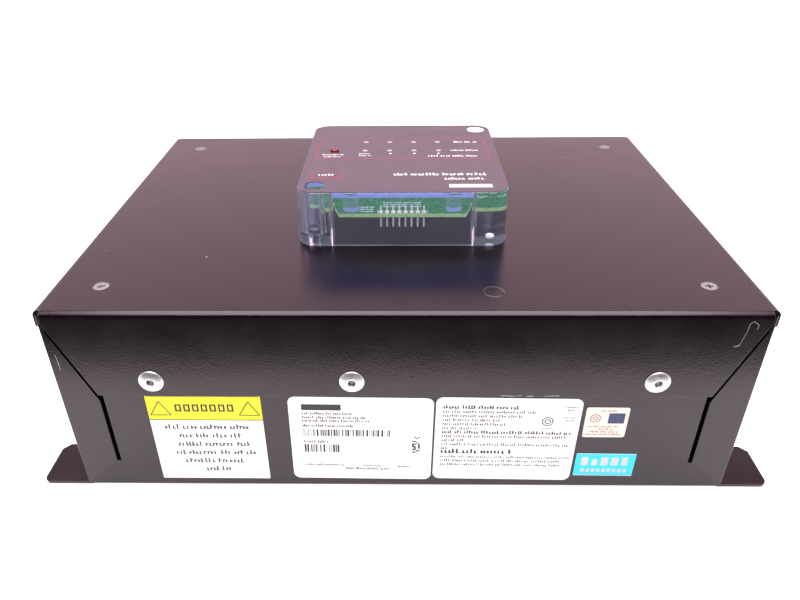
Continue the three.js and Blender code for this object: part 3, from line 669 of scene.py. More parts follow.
def make_cover():
    half_width, half_depth = COVER_HIGH.x, COVER_HIGH.y
    run, lip_run = half_width - COVER_BEND - CORNER_RELIEF, half_depth - COVER_BEND
    lip_bottom = COVER_TOP - LIP_HEIGHT
    flanges = prism(folded_section(half_depth, COVER_TOP, FLANGE_BOTTOM), "x", -run, run)
    lips = prism(folded_section(half_width, COVER_TOP, lip_bottom), "y", -lip_run, lip_run)
    tools = []
    for side in (-1, 1):
        foot = side * (half_width - FLANGE_INSET)
        outline = [
            (side * (run + 1), FLANGE_SHOULDER), (side * run, FLANGE_SHOULDER), (foot, FLANGE_BOTTOM),
            (foot, FLANGE_BOTTOM - 1), (side * (run + 1), FLANGE_BOTTOM - 1)]
        tools.append(prism(outline, "y", -half_depth - 1, half_depth + 1))
    for side_x, side_y in CORNERS:
        ends = sorted((side_x * (half_width + 1), side_x * (half_width - SHEET - 0.3)))
        tools.append(prism(lip_corner(side_y), "x", *ends))
    through = (COVER_TOP - SHEET - 1, COVER_TOP + 1)
    tools += [countersink(*centre_of(f"cover_screw_{i}")) for i in range(1, 5)]
    low, high = box_mm("ground_stud")
    tools.append(prism(circle(high.x - low.x + 0.12, *centre_of("ground_stud")), "z", *through))
    for i in (1, 2):
        tools.append(prism(circle(SCREW_HOLE, *centre_of(f"module_screw_{i}")), "z", *through))
    low, high = box_mm("ribbon_cable")
    tools.append(block(low.x - 2, high.x + 2, *RIBBON_SLOT, *through))
    tools += rivet_holes()
    mesh = cut(joined(flanges, lips), *tools)
    piece("cover_sheet", mesh, [PAINT, PAINT_EDGE_WEAR_AND_HIGHLIGHT], stands_for=["front_cover"], slot="black_paint",
          edge=EDGE_BREAK, edge_material=1)


def rivet_places():
    for side in ("front", "back"):
        for i in (1, 2, 3):
            low, high = box_mm(f"{side}_rivet_{i}")
            yield side, i, (low + high) / 2


def rivet_holes():
    reach = COVER_HIGH.y + 1
    return [prism(circle(RIVET_HOLE, centre.x, centre.z), "y", -reach, reach)
            for side, _, centre in rivet_places() if side == "front"]


def ear(side_x, side_y):
    root, tip = side_x * (PAN_HALF_WIDTH - PAN_BEND), side_x * PAN_HIGH.x
    front, back = side_y * PAN_HALF_DEPTH, side_y * (PAN_HALF_DEPTH - EAR_LENGTH)
    start = -90 if side_y < 0 else 90
    end = 0 if side_x > 0 else (-180 if side_y < 0 else 180)
    centre = (tip - side_x * EAR_RADIUS, front - side_y * EAR_RADIUS)
    return [
        (root, front), *arc(centre, EAR_RADIUS, start, end, ROUND_STEPS),
        (tip, back + side_y * EAR_CHAMFER), (tip - side_x * EAR_CHAMFER, back), (root, back)]


def rounded_tray(half_width, half_depth, top):
    """The pan's outside: a block with round upright and lower edges."""
    def build(bm):
        bmesh.ops.create_cube(bm, size=1)
        bmesh.ops.scale(bm, vec=Vector((2 * half_width, 2 * half_depth, top)) * MM, verts=bm.verts)
        bmesh.ops.translate(bm, vec=Vector((0, 0, top / 2)) * MM, verts=bm.verts)
        ridge = top * MM - 1e-6
        edges = [e for e in bm.edges if min(v.co.z for v in e.verts) < ridge]
        bmesh.ops.bevel(bm, geom=edges, offset=PAN_EDGE * MM, segments=5, profile=0.5, affect="EDGES")
    return mesh_of(build)


def mitre(side):
    """What is cut off a return flange so that its edge runs beside the cover flange's slanted edge."""
    slot_far, bend = SLOT_NEAR + SLOT_WIDTH, PAN_HALF_WIDTH - PAN_BEND
    foot = COVER_HIGH.x - FLANGE_INSET
    run = COVER_HIGH.x - COVER_BEND - CORNER_RELIEF
    slope = (run - foot) / (FLANGE_SHOULDER - FLANGE_BOTTOM)
    low, high = (FLANGE_BOTTOM + (x - foot - MITRE_SETBACK) / slope for x in (slot_far, bend))
    top = PAN_HIGH.z + 1
    outline = [(slot_far - 1, low), (slot_far, low), (bend, high), (bend, top), (slot_far - 1, top)]
    return prism([(side * x, z) for x, z in outline], "y", -PAN_HALF_DEPTH - 1, PAN_HALF_DEPTH + 1)


def make_pan():
    w, d = PAN_HALF_WIDTH, PAN_HALF_DEPTH
    top = PAN_HIGH.z
    tools = [
        block(-w + SHEET, w - SHEET, -d + SHEET, d - SHEET, SHEET, top + 9),
        block(-SLOT_NEAR - 0.5, SLOT_NEAR + 0.5, -d - 1, d + 1, WALL_TOP, top + 9)]
    for side in (-1, 1):
        near, far = sorted((side * SLOT_NEAR, side * (SLOT_NEAR + SLOT_WIDTH)))
        tools.append(block(near, far, -d - 1, d + 1, SLOT_BOTTOM, top + 9))
        tools.append(mitre(side))
        # the ground-down weld that closes the mitre below the slot
        for face in (-1, 1):
            start, end = (side * (SLOT_NEAR + SLOT_WIDTH / 2), SLOT_BOTTOM), (side * (w - 0.6), 0.4)
            tools.append(groove(start, end, 0.34, face * d))
    low, high = box_mm("wire_entry_bushing")
    centre = ((low.x + high.x) / 2, (low.z + high.z) / 2)
    tools.append(prism(circle(ENTRY_HOLE, *centre, 48), "y", d - SHEET - 1, d + 1))
    tools += rivet_holes()
    shell = cut(rounded_tray(w, d, top), *tools)
    ears = [prism(ear(*corner), "z", 0, SHEET) for corner in CORNERS]
    welds = []
    for side_x, side_y in CORNERS:
        x0, x1 = sorted((side_x * (w - PAN_BEND), side_x * w))
        y0, y1 = sorted((side_y * (d - PAN_BEND), side_y * (d - EAR_LENGTH)))
        welds.append(block(x0, x1, y0, y1, 0.0, PAN_BEND))
    piece("pan_sheet", joined(shell, *ears, *welds), [PAINT, PAINT_EDGE_WEAR_AND_HIGHLIGHT], stands_for=["rear_pan"],
          slot="black_paint", edge=EDGE_BREAK, edge_material=1)


def groove(start, end, width, face):
    """A shallow V-shaped bar that follows a line on the front or back wall."""
    along = Vector(end) - Vector(start)
    across = Vector((-along.y, along.x)).normalized() * width / 2
    depth = 0.12 * (1 if face < 0 else -1)
    out = -depth * 4

    def build(bm):
        rings = []
        for point in (Vector(start), Vector(end)):
            a, b = point + across, point - across
            rings.append([bm.verts.new(Vector(v) * MM) for v in (
                (a.x, face + out, a.y), (b.x, face + out, b.y), (point.x, face + depth, point.y))])
        skin(bm, rings)
    return mesh_of(build)


# ------------------------------------------------------------------ fasteners
def outward(side):
    """Turns a piece made along +Z so that it points out of the front or the back wall."""
    return Matrix.Rotation(math.radians(90 if side == "front" else -90), 4, "X")


def make_rivets():
    random.seed(3)
    for side, i, centre in rivet_places():
        seat = COVER_HIGH.y + 0.02
        y = -seat if side == "front" else seat
        head, grip = 4.75, 2 * SHEET + 0.4
        profile = [
            (0, -grip - 2.4), (2.2, -grip - 2.3), (3.1, -grip - 1.2), (3.0, -grip), (2.4, -grip), (2.4, 0),
            (head - 0.15, 0), (head, 0.12), (head, 0.3), (head * 0.965, 0.52), (head * 0.86, 0.86),
            (head * 0.7, 1.16), (head * 0.5, 1.36), (1.75, 1.44), (1.55, 1.4), (1.45, 1.25), (1.45, -0.7),
            (0, -0.7)]
        turn = outward(side) @ Matrix.Rotation(random.uniform(0, math.pi), 4, "Z")
        mesh = moved(turned(profile, 48), centre.x, y, centre.z, turn)
        piece(f"{side}_rivet_head_{i}", mesh, [RIVET_ALUMINIUM], stands_for=[f"{side}_rivet_{i}"],
              slot="aluminium", sharp=50)
        # the broken end of the mandrel, on the hole's axis
        stub = [(0, -0.65), (1.25, -0.65), (1.3, 0.1), (1.1, 0.35), (0.5, 0.5), (0, 0.42)]
        mesh = moved(turned(stub, 24), centre.x, y, centre.z, outward(side))
        piece(f"{side}_mandrel_end_{i}", mesh, [MANDREL_STEEL], slot="zinc_steel", sharp=50)


def cross_recess(top, depth, reach, width):
    """A tapered cross that is cut into a screw's head."""
    def wing(turn):
        rings = []
        for z, scale in ((top + 0.6, 1.1), (top - depth, 0.55)):
            x, y = reach * scale, width * (0.75 + 0.25 * scale)
            rings.append(([(-x, -y), (x, -y), (x, y), (-x, y)], z))
        return moved(loft(rings), turn=Matrix.Rotation(turn, 4, "Z"))
    return wing(0), wing(math.pi / 2)


def make_cover_screws():
    random.seed(8)
    for i in range(1, 5):
        low, high = box_mm(f"cover_screw_{i}")
        face = high.z
        profile = [
            (0, low.z), (1.5, low.z + 0.6), (1.5, face - 1.35), (2.9, face - 0.16), (2.93, face - 0.08),
            (2.86, face), (0, face)]
        mesh = cut(turned(profile, 40), *cross_recess(face, 1.0, 1.75, 0.42))
        turn = Matrix.Rotation(random.uniform(0, math.pi / 2), 4, "Z")
        mesh = moved(mesh, *centre_of(f"cover_screw_{i}"), 0, turn)
        piece(f"cover_screw_head_{i}", mesh, [ZINC], stands_for=[f"cover_screw_{i}"],
              slot="zinc_steel", sharp=25)


def make_module_screws():
    for i in (1, 2):
        low, high = box_mm(f"module_screw_{i}")
        seat = high.z - 2.4
        profile = [
            (0, low.z), (1.75, low.z + 0.6), (1.75, seat), (3.3, seat), (3.4, seat + 0.15), (3.4, seat + 1.3),
            (3.2, seat + 1.8), (2.6, seat + 2.15), (1.6, seat + 2.35), (0, seat + 2.4)]
        mesh = cut(turned(profile, 40), *cross_recess(seat + 2.4, 1.6, 1.9, 0.45))
        mesh = moved(mesh, *centre_of(f"module_screw_{i}"))
        piece(f"module_screw_head_{i}", mesh, [DARK_STEEL], stands_for=[f"module_screw_{i}"],
              slot="dark_steel", sharp=30)


def make_stud():
    low, high = box_mm("ground_stud")
    radius = (high.x - low.x) / 2
    profile = [
        (0, low.z), (1.7, low.z), (2, low.z + 0.4), (2, COVER_TOP - SHEET), (radius, COVER_TOP - SHEET),
        (radius, COVER_TOP - 0.02), (radius - 0.25, high.z - 0.02), (radius - 0.7, high.z), (0, high.z)]
    mesh = moved(turned(profile, 48), *centre_of("ground_stud"))
    piece("stud_head", mesh, [PAINT], stands_for=["ground_stud"], slot="black_paint", sharp=40)


def make_bushing():
    low, high = box_mm("wire_entry_bushing")
    out = high.y - PAN_HALF_DEPTH
    bore, neck, flange = 10.0, ENTRY_HOLE / 2 - 0.3, 17.0
    profile = [
        (bore + 1, out), (bore + 0.3, out - 0.3), (bore, out - 1), (bore, -6.2), (bore + 0.4, -6.25),
        (neck - 0.6, -6.25),
        (neck, -5.8), (neck + 0.9, -1.5), (neck, -1.4), (neck, 0.05), (flange, 0.05), (flange, out - 1.1),
        (flange - 0.3, out - 0.4), (flange - 1, out)]
    x, z = (low.x + high.x) / 2, (low.z + high.z) / 2
    mesh = moved(turned(profile, 64), x, PAN_HALF_DEPTH, z, outward("back"))
    piece("entry_bushing_ring", mesh, [BLACK_NYLON], stands_for=["wire_entry_bushing"],
          slot="black_plastic", sharp=50)


# ------------------------------------------------------------------ display module
def drafted_rings(width, depth, radius, z0, z1, draft, top_edge):
    """Rings of a block that narrows upwards and ends in a round top edge."""
    rings = []
    levels = [(z0, 0.0), (z1 - top_edge, 0.0)]
    for step in range(1, 6):
        angle = math.radians(90 * step / 5)
        levels.append((z1 - top_edge * (1 - math.sin(angle)), top_edge * (1 - math.cos(angle))))
    for z, inset in levels:
        lean = draft * (z - z0) / (z1 - z0) + inset
        size = (width - 2 * lean, depth - 2 * lean, radius - lean)
        rings.append((rounded_rectangle(*size, (MODULE_X, MODULE_Y), 12), z))
    return rings


def module_corner(side_x, side_y, x, y):
    return MODULE_X + side_x * x, MODULE_Y + side_y * y


def make_housing():
    width, depth = HOUSING_HIGH.x - HOUSING_LOW.x, HOUSING_HIGH.y - HOUSING_LOW.y
    bottom, top = HOUSING_LOW.z, HOUSING_HIGH.z
    window = top - HOUSING_WINDOW
    outer = loft(drafted_rings(width, depth, HOUSING_RADIUS, bottom, top, HOUSING_DRAFT, 0.5))
    inside = (width - 2 * HOUSING_WALL, depth - 2 * HOUSING_WALL, HOUSING_RADIUS - HOUSING_WALL)
    room = prism(rounded_rectangle(*inside, (MODULE_X, MODULE_Y), 10), "z", bottom - 1, window)
    size = HOUSING_POST + 4
    posts = []
    for corner in CORNERS:
        reach = (width / 2 - HOUSING_POST + size / 2, depth / 2 - HOUSING_POST + size / 2)
        centre = module_corner(*corner, *reach)
        posts.append(prism(rounded_rectangle(size, size, 3, centre), "z", bottom - 2, window + 1))
    cavity = cut(room, *posts)
    bosses = []
    for corner in CORNERS:
        x, y = module_corner(*corner, BOSS_X, BOSS_Y)
        foot = BOARD_HIGH.z + 0.1
        profile = [(0, foot), (BOSS / 2 - 0.1, foot), (BOSS / 2, BOARD_HIGH.z + 0.3),
                   (BOSS / 2, window + 1), (0, window + 1)]
        bosses.append(moved(turned(profile, 32), x, y))
    tools = []
    for i in (1, 2):
        x, y = centre_of(f"module_screw_{i}")
        tools.append(prism(circle(BORE, x, y, 40), "z", bottom + HOUSING_FOOT, top + 1))
        tools.append(prism(circle(SCREW_HOLE, x, y, 24), "z", bottom - 1, bottom + HOUSING_FOOT + 1))
    tools.append(prism(circle(BUTTON_HOLE, *centre_of("silence_button")), "z", window - 1, top + 1))
    mesh = cut(joined(cut(outer, cavity), *bosses), *tools)
    piece("clear_cap", mesh, [CLEAR], stands_for=["display_housing"],
          slot="clear_plastic", edge=0.3, sharp=40)


def make_painted_post_highlights():
    """Pale pieces in the feet of the two posts that have no bore: a painted highlight for the light that the
    clear posts bend and mirror there.
    """
    offset = abs(centre_of("module_screw_1")[0] - MODULE_X)
    for i, side in enumerate((1, -1), 1):
        levels = [(0, 1.2), (1.1, 1.4), (1.5, 2.2), (1.2, 3.1), (0.5, 3.5), (0, 3.6)]
        profile = [(radius, HOUSING_LOW.z + z) for radius, z in levels]
        mesh = moved(turned(profile, 20), MODULE_X + side * offset, MODULE_Y - side * offset)
        # painted highlight: pale plastic where the clear feet catch light
        piece(f"painted_post_highlight_{i}", mesh, [PAINTED_HIGHLIGHT_WHITE], slot="clear_plastic", sharp=60)


def flat_plate(outline, holes, z0, z1):
    """A plate with round holes, filled without booleans."""
    def build(bm):
        edges = []
        for loop in (outline, *holes):
            verts = [bm.verts.new(Vector((x, y, z0)) * MM) for x, y in loop]
            edges += [bm.edges.new((verts[i], verts[(i + 1) % len(verts)])) for i in range(len(verts))]
        filled = bmesh.ops.triangle_fill(bm, edges=edges, use_beauty=True)
        faces = [f for f in filled["geom"] if isinstance(f, bmesh.types.BMFace)]
        raised = bmesh.ops.extrude_face_region(bm, geom=faces)
        verts = [v for v in raised["geom"] if isinstance(v, bmesh.types.BMVert)]
        bmesh.ops.translate(bm, vec=Vector((0, 0, z1 - z0)) * MM, verts=verts)
    return mesh_of(build)


def lamp_places():
    for i in range(1, 9):
        yield i, *centre_of(f"status_led_{i}")


def make_overlay():
    width, depth = OVERLAY_HIGH.x - OVERLAY_LOW.x, OVERLAY_HIGH.y - OVERLAY_LOW.y
    bottom, top = OVERLAY_LOW.z, OVERLAY_HIGH.z
    holes = [circle(LAMP_WINDOW, x, y, 24) for _, x, y in lamp_places()]
    holes += [circle(BORE, *centre_of(f"module_screw_{i}"), 48) for i in (1, 2)]
    button = centre_of("silence_button")
    holes.append(circle(BUTTON_HOLE, *button, 32))
    outline = rounded_rectangle(width, depth, HOUSING_RADIUS - 0.9, (MODULE_X, MODULE_Y), 16)
    # the film is bonded to the window; its underside is a bright blue, lightened as painted light so that the
    # window's edge and the module's reflection in the cover look bright
    mesh = flat_plate(outline, holes, HOUSING_HIGH.z - 0.02, top)
    film = piece("printed_film", mesh, [FILM, FILM_BACK_PAINTED_LIGHT], stands_for=["display_overlay"],
                 slot="grey_film")
    for polygon in film.data.polygons:
        polygon.material_index = 1 if polygon.normal.z < -0.5 else 0
    film.visible_shadow = False

    ring = [(2.05, -0.02), (2.35, -0.02), (2.35, 0.16), (2.25, 0.22), (2.1, 0.2), (2.05, 0.1)]
    collar = moved(turned(ring, 40), *button, top)
    piece("button_collar", collar, [INK_DARK_RED], slot="red_plastic", sharp=60)
    for i, x, y in lamp_places():
        radius = LAMP_WINDOW / 2 - 0.03
        profile = [(0, bottom), (radius, bottom), (radius, top - 0.02), (radius * 0.8, top + 0.08),
                   (radius * 0.45, top + 0.14), (0, top + 0.16)]
        mesh = moved(turned(profile, 24), x, y)
        piece(f"lamp_window_{i}", mesh, [LAMP_CLEAR], slot="led_plastic", sharp=60)


def make_button():
    low, high = box_mm("silence_button")
    radius = (high.x - low.x) / 2
    tip = OVERLAY_LOW.z - 1.3
    top = high.z
    profile = [
        (0, low.z), (radius - 0.45, low.z), (radius - 0.3, low.z + 0.2), (radius - 0.3, tip),
        (radius, tip + 0.3), (radius, top - 0.75), (radius * 0.97, top - 0.45), (radius * 0.86, top - 0.2),
        (radius * 0.62, top - 0.06), (radius * 0.3, top - 0.01), (0, top)]
    mesh = moved(turned(profile, 40), *centre_of("silence_button"))
    piece("button_stem", mesh, [RED_BUTTON], body=BUTTON_BODY, stands_for=["silence_button"],
          slot="red_plastic", sharp=50)


def make_lamps():
    for i, x, y in lamp_places():
        low, high = box_mm(f"status_led_{i}")
        shoulder = high.z - 1.5
        dome = [(r, shoulder + z) for r, z in arc((0, 0), 1.5, 0, 80, 6)]
        skirt = [(0, 0), (1.8, 0), (1.9, 0.1), (1.9, 0.95), (1.5, 1.0)]
        profile = [*((r, low.z + z) for r, z in skirt), *dome, (0, high.z)]
        mesh = moved(turned(profile, 28), x, y)
        piece(f"lamp_{i}", mesh, [LAMP_CLEAR], stands_for=[f"status_led_{i}"], slot="led_plastic", sharp=45)


def make_solder():
    """Solder cones round the header pins, and the board's white and tinned marks."""
    for i in range(1, 9):
        base = BOARD_HIGH.z - 0.01
        levels = [(0, 0), (0.95, 0), (0.9, 0.08), (0.6, 0.3), (0.42, 0.7), (0.34, 1.1), (0, 1.1)]
        profile = [(radius, base + z) for radius, z in levels]
        mesh = moved(turned(profile, 20), *centre_of(f"header_pin_{i}"))
        piece(f"solder_cone_{i}", mesh, [PALE_TIN_PAINTED_SHEEN], slot="tinned_brass", sharp=60)
    marks = Print(BOARD_HIGH.z, INK_WHITE, PALE_TIN_PAINTED_SHEEN)
    first, last = box_mm("header_pin_1")[0].x, box_mm("header_pin_8")[1].x
    y = box_mm("header_pin_1")[0].y
    marks.frame((first + last) / 2, y + 0.3, last - first + 2.2, 3.0, 0.18, 0)
    rng = random.Random(5)
    for row in range(3):
        marks.words(rng, first - 8.5, first - 2.5, y + 0.4 + 2.1 * row, 1.0, 0)
        marks.words(rng, first + 1, last - 1, y + 5.2 + 1.9 * row, 0.9, 0)
    for column in range(-3, 4):
        for row in range(3):
            x, z = MODULE_X + 10.5 * column, y + 19.5 + 5.5 * row
            marks.bar(x, z, 1.9, 1.1, 1)
            marks.bar(x + 2.6, z, 0.5, 1.1, 1)
            marks.bar(x + 4.2, z + 0.9, 2.4, 0.35, 0)
    marks.finish("board_marks", slot="label_white")


# ------------------------------------------------------------------ print
class Print:
    """Thin bars, rings and blocks of ink on a flat face, gathered into one mesh."""

    def __init__(self, level, *inks):
        self.level, self.inks = level, inks
        self.shapes = []

    def add(self, outline, ink):
        self.shapes.append((outline, ink))

    def bar(self, x, y, width, height, ink):
        self.add([(x - width / 2, y - height / 2), (x + width / 2, y - height / 2),
                  (x + width / 2, y + height / 2), (x - width / 2, y + height / 2)], ink)

    def frame(self, x, y, width, height, line, ink):
        for side in (-1, 1):
            self.bar(x, y + side * (height - line) / 2, width, line, ink)
            self.bar(x + side * (width - line) / 2, y, line, height - 2 * line, ink)

    def stroke(self, points, line, ink):
        """A bent line of even width."""
        for (x0, y0), (x1, y1) in zip(points, points[1:]):
            length = math.hypot(x1 - x0, y1 - y0)
            nx, ny = -(y1 - y0) / length * line / 2, (x1 - x0) / length * line / 2
            self.add([(x0 - nx, y0 - ny), (x1 - nx, y1 - ny), (x1 + nx, y1 + ny), (x0 + nx, y0 + ny)], ink)

    def ring(self, x, y, diameter, line, ink):
        outer, inner = circle(diameter, x, y, 24), circle(diameter - 2 * line, x, y, 24)
        for i in range(24):
            j = (i + 1) % 24
            self.add([outer[i], outer[j], inner[j], inner[i]], ink)

    def words(self, rng, x0, x1, y, height, ink, weight=0.33):
        """A run of short upright ticks in groups, the weight and texture of small print."""
        x = x0
        while x < x1 - height * 0.4:
            for _ in range(rng.randint(3, 8)):
                if x > x1 - height * 0.3:
                    break
                tall = rng.random() < 0.3
                rise = height if tall else height * 0.68
                self.bar(x + weight * height / 2, y + rise / 2, weight * height, rise, ink)
                if rng.random() < 0.7:
                    level = rng.choice((0.08, 0.34, 0.6)) * height
                    self.bar(x + 0.3 * height, y + level, 0.42 * height, weight * height * 0.75, ink)
                x += height * rng.uniform(0.5, 0.72)
            x += height * 0.42

    def bars(self, rng, x0, x1, y, height, ink, unit=0.26):
        """A run of upright bars of one to three units."""
        x = x0
        while x < x1:
            wide = unit * rng.choice((1, 1, 2, 3))
            self.bar(x + wide / 2, y, wide, height, ink)
            x += wide + unit * rng.choice((1, 1, 2, 3))

    def finish(self, name, turn=None, slot=None):
        def build(bm):
            for lift, (outline, ink) in enumerate(self.shapes):
                top = self.level + INK + 0.001 * (lift % 7)
                levels = (self.level - 0.01, top)
                rings = [[bm.verts.new(Vector((x, y, z)) * MM) for x, y in outline] for z in levels]
                for face in skin(bm, rings):
                    face.material_index = ink
        mesh = mesh_of(build)
        indices = [polygon.material_index for polygon in mesh.polygons]
        if turn is not None:
            mesh.transform(turn)
        thing = piece(name, mesh, self.inks, slot=slot)
        thing.data.polygons.foreach_set("material_index", indices)
        return thing


def make_overlay_print():
    """Generic marks in the places where the film is printed."""
    rng = random.Random(11)
    ink = Print(OVERLAY_HIGH.z, INK_WHITE, INK_RED, INK_DARK_RED, INK_DARK)
    ink.frame(0.05, 7.55, 78.7, 27.9, 1.3, 1)
    ink.frame(-31.98, -25.3, 13.95, 9.0, 1.3, 1)
    ink.bar(-31.85, -28.3, 10.7, 1.6, 2)
    ink.words(rng, -35.5, -28.7, -25.9, 2.2, 0, 0.3)
    ink.bar(27.75, -37.4, 17.5, 3.4, 0)
    lines = [
        (17.5, 35.6, -30.6, 2.4), (-3.7, 35.7, -25.8, 2.6), (24.3, 35.4, 15.8, 1.8), (22.2, 35.4, 4.3, 1.7),
        (11.6, 35.1, -3.2, 1.8), (-19.5, -13.6, 0.3, 1.3), (-19.5, -13.6, -2.1, 1.3),
        (-36.0, -26.0, -0.9, 1.5), (-35.4, -26.8, -3.5, 1.5)]
    for line in lines:
        ink.words(rng, *line, 0)
    for x in (-5.3, 5.6, 16.5):
        ink.bar(x, 1.0, 1.0, 1.2, 0)
    ink.finish("film_print", slot="label_white").visible_shadow = False


def wall_turn(node, tilt):
    """From a label's own plane, X right and Y up, to its place on the front wall."""
    low, high = box_mm(node)
    centre = Vector(((low.x + high.x) / 2, 0, (low.z + high.z) / 2)) * MM
    stand = Matrix.Rotation(math.radians(90), 4, "X")
    return Matrix.Translation(centre) @ Matrix.Rotation(math.radians(tilt), 4, "Y") @ stand


def label_size(node, tilt):
    """A tilted label's own width and height from its box."""
    low, high = box_mm(node)
    w, h = high.x - low.x, high.z - low.z
    c, s = math.cos(math.radians(tilt)), math.sin(math.radians(tilt))
    return (w * c - h * s) / (c * c - s * s), (h * c - w * s) / (c * c - s * s)


def make_label(node, slot, *materials):
    """A thin plate on the wall; with two materials, a band of the first over the second."""
    tilt, radius = LABEL_TILTS[node]
    width, height = label_size(node, tilt)
    low, high = box_mm(node)
    back, front = -high.y, -low.y
    turn = wall_turn(node, tilt)
    bands = [(height, 0.0)]
    if len(materials) > 1:
        half = YELLOW_BAND / 2
        bands = [(YELLOW_BAND, height / 2 - half), (height - YELLOW_BAND, -half)]
    for i, ((tall, centre), material) in enumerate(zip(bands, materials)):
        outline = rounded_rectangle(width, tall, radius, (0, centre), 12)
        mesh = prism(outline, "z", back, front)
        mesh.transform(turn)
        name = f"{node}_{('face', 'lower_face')[i]}"
        piece(name, mesh, [material], stands_for=[node] if i == 0 else (), slot=slot, edge=0.03)
    return Print(front, INK_DARK, INK_GREY, INK_BROWN, INK_NAVY, INK_WHITE), turn, width, height


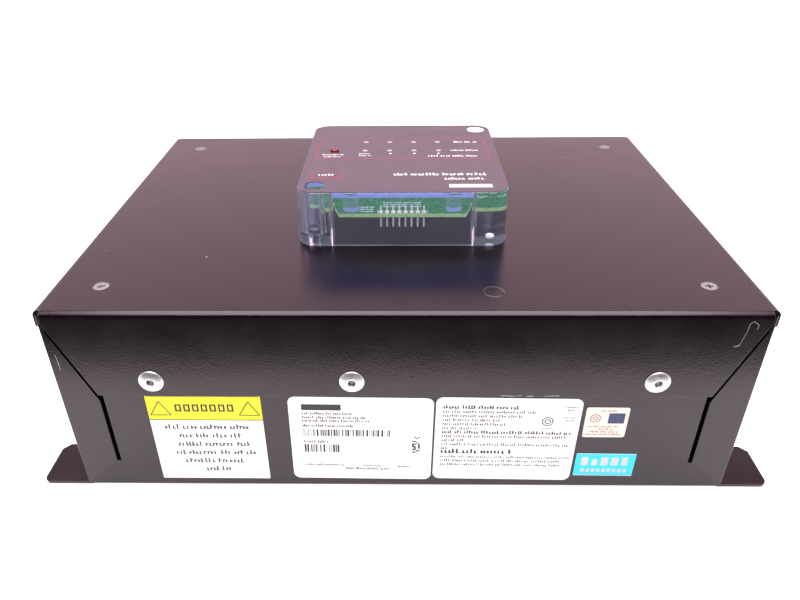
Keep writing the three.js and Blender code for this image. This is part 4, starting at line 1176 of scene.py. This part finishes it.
def make_labels():
    rng = random.Random(21)
    ink, turn, w, h = make_label("two_tone_label", "label_yellow", LABEL_YELLOW, LABEL_WHITE)
    ink.bar(0, h / 2 - 0.2, w - 0.6, 0.4, 0)
    ink.bar(0, h / 2 - 12.2, w - 0.2, 0.4, 0)
    for side in (-1, 1):
        x, y = side * 17.4, h / 2 - 6.4
        ink.stroke([(x - 4, y - 3.3), (x + 4, y - 3.3), (x, y + 3.5), (x - 4, y - 3.3)], 0.4, 0)
    for i in range(7):
        ink.frame(-10.2 + 3.4 * i, h / 2 - 6.1, 2.5, 3.6, 0.7, 0)
    rows = [(-17, 18), (-12, 13), (-13, 16), (-14.5, 18), (-11.5, 14), (-3.5, 7)]
    for row, (left, right) in enumerate(rows):
        ink.words(rng, left, right, h / 2 - 16.9 - 4.55 * row, 2.4, 1, 0.28)
    ink.finish("two_tone_label_print", turn, "label_yellow")

    ink, turn, w, h = make_label("barcode_label", "label_white", LABEL_WHITE)
    ink.bar(-15.5, h / 2 - 5.2, 15.4, 3.0, 0)
    for row, (length, gap) in enumerate([(20, 8.9), (25.5, 10.9), (27, 12.6), (20, 15.2)]):
        ink.words(rng, -23.2, -23.2 + length, h / 2 - gap, 1.35, 0)
    ink.bars(rng, -23, 11.5, h / 2 - 18.3, 3.5, 0)
    ink.words(rng, -23, -13, h / 2 - 23.6, 1.3, 0)
    ink.bars(rng, -23, -8.6, h / 2 - 26.6, 4.2, 0)
    for left, right, rise, tall in (
            (-23.2, -6.5, 7.2, 1.1), (0.5, 8, 6.9, 1.1), (14.5, 20.5, 6.6, 1.1), (-6.5, 11, 5.2, 1.25)):
        ink.words(rng, left, right, -h / 2 + rise, tall, 0)
    for column in range(4):
        for row in range(12):
            if rng.random() < 0.55:
                ink.bar(20.6 + 0.8 * column, 1.5 - 0.72 * row, 0.8, 0.72, 0)
    ink.finish("barcode_label_print", turn, "label_white")

    ink, turn, w, h = make_label("rating_label", "label_white", LABEL_WHITE)
    lines = [
        (29, 1.8, 0), (36, 1.5, 0), (31, 1.5, 0), (23, 1.5, 0), (26, 1.5, 0), (14, 1.5, 0), (51, 1.7, 0),
        (49.5, 1.5, 0),
        (9, 1.5, 0), (51, 1.5, 0), (3.4, 1.5, 0), (29, 2.4, 0), (52, 1.35, 0), (49.5, 1.35, 0), (49, 1.35, 0)]
    y = h / 2 - 5.6
    for length, height, shade in lines:
        ink.words(rng, -25.4, -25.4 + length, y, height, shade, 0.34 if height > 1.6 else 0.28)
        y -= 2.12 if height < 2 else 2.5
    ink.ring(15.6, h / 2 - 11.5, 4.6, 0.5, 1)
    ink.ring(15.6, h / 2 - 11.5, 2.6, 0.5, 1)
    small = [(21.8, 4.6, 4.6), (22.6, 6.1, 3), (21.8, 9.8, 4.6), (22.6, 11.3, 3), (13.6, 15.6, 4.2)]
    for x, drop, length in small:
        ink.words(rng, x, x + length, h / 2 - drop, 0.95, 1)
    ink.finish("rating_label_print", turn, "label_white")

    ink, turn, w, h = make_label("listing_label", "label_cream", LABEL_CREAM)
    ink.bar(3.8, h / 2 - 5.4, 6.3, 5.2, 3)
    ink.ring(-4.4, h / 2 - 5.4, 4.2, 0.45, 2)
    ink.ring(-4.4, h / 2 - 5.4, 2.0, 0.4, 2)
    ink.words(rng, -2.5, 3.5, h / 2 - 2.0, 0.9, 2)
    for row, (left, right) in enumerate([(-6.8, 5.6), (-2, 3), (-5.5, 5.2), (-8, 7)]):
        ink.words(rng, left, right, h / 2 - 10.0 - 1.35 * row, 0.95, 2)
    ink.finish("listing_label_print", turn, "label_cream")

    ink, turn, w, h = make_label("blue_label", "label_blue", LABEL_BLUE)
    for i, (x, wide) in enumerate(((-8.9, 3.3), (-4.9, 2.9), (-0.9, 3.5), (3.3, 3.5), (7.3, 2.9))):
        tall = 4.4 if i != 1 else 3.2
        ink.bar(x + 0.6, 1.9 + (tall - 4.4) / 2, wide - 0.6, tall, 4)
    for i in range(9):
        ink.bar(-8.6 + 2.15 * i, -3.2, 1.4, 2.0, 4)
    for side in (-1, 1):
        ink.bar(0, side * (h / 2 - 0.15), w - 0.2, 0.3, 4)
    ink.finish("blue_label_print", turn, "label_blue")


def make_scuffs():
    """Light scratches and rubs in the paint, drawn as thin bright lines on it."""
    marks = Print(COVER_HIGH.y, BARE_CUT)
    marks.stroke([(121.9, 79.3), (122.0, 82.0), (123.2, 83.0), (125.2, 81.5), (125.1, 79.7)], 0.16, 0)
    marks.stroke([(121.9, 79.3), (120.6, 72.8)], 0.13, 0)
    marks.stroke([(120.6, 72.8), (119.7, 72.4), (118.7, 72.3)], 0.22, 0)
    marks.stroke([(-128.2, 68.0), (-127.9, 64.0), (-128.0, 61.0)], 0.14, 0)
    rng = random.Random(4)
    for _ in range(14):
        x = rng.uniform(36, 59)
        marks.stroke([(x, FLANGE_BOTTOM + rng.uniform(0.2, 0.5)),
                      (x + rng.uniform(0.8, 2.4), FLANGE_BOTTOM + rng.uniform(0.2, 0.6))], 0.14, 0)
    marks.finish("paint_scuffs", Matrix.Rotation(math.radians(90), 4, "X"), "zinc_steel")


# ------------------------------------------------------------------ parts that keep their CAD shape
def finish_cad_nodes():
    finishes = {
        "power_board": BOARD_GREEN, "display_board": BOARD_GREEN, "terminal_block": BLACK_NYLON,
        "ribbon_socket": BLACK_NYLON, "tact_switch": BLACK_NYLON, "alarm_buzzer": BLACK_NYLON,
        "ribbon_cable": RIBBON_GREY, "varistor": VARISTOR_BLUE, "thermal_fuse": FUSE_TUBE,
        "board_post": ZINC, "header_pin": PALE_TIN_PAINTED_SHEEN,
    }
    for name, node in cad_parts.items():
        for prefix, material in finishes.items():
            if name.startswith(prefix):
                node.material_slots[0].material = material


make_camera()
make_stage()
make_cover()
make_pan()
make_rivets()
make_cover_screws()
make_module_screws()
make_stud()
make_bushing()
make_housing()
make_painted_post_highlights()
make_overlay()
make_overlay_print()
make_button()
make_lamps()
make_solder()
make_labels()
make_scuffs()
finish_cad_nodes()
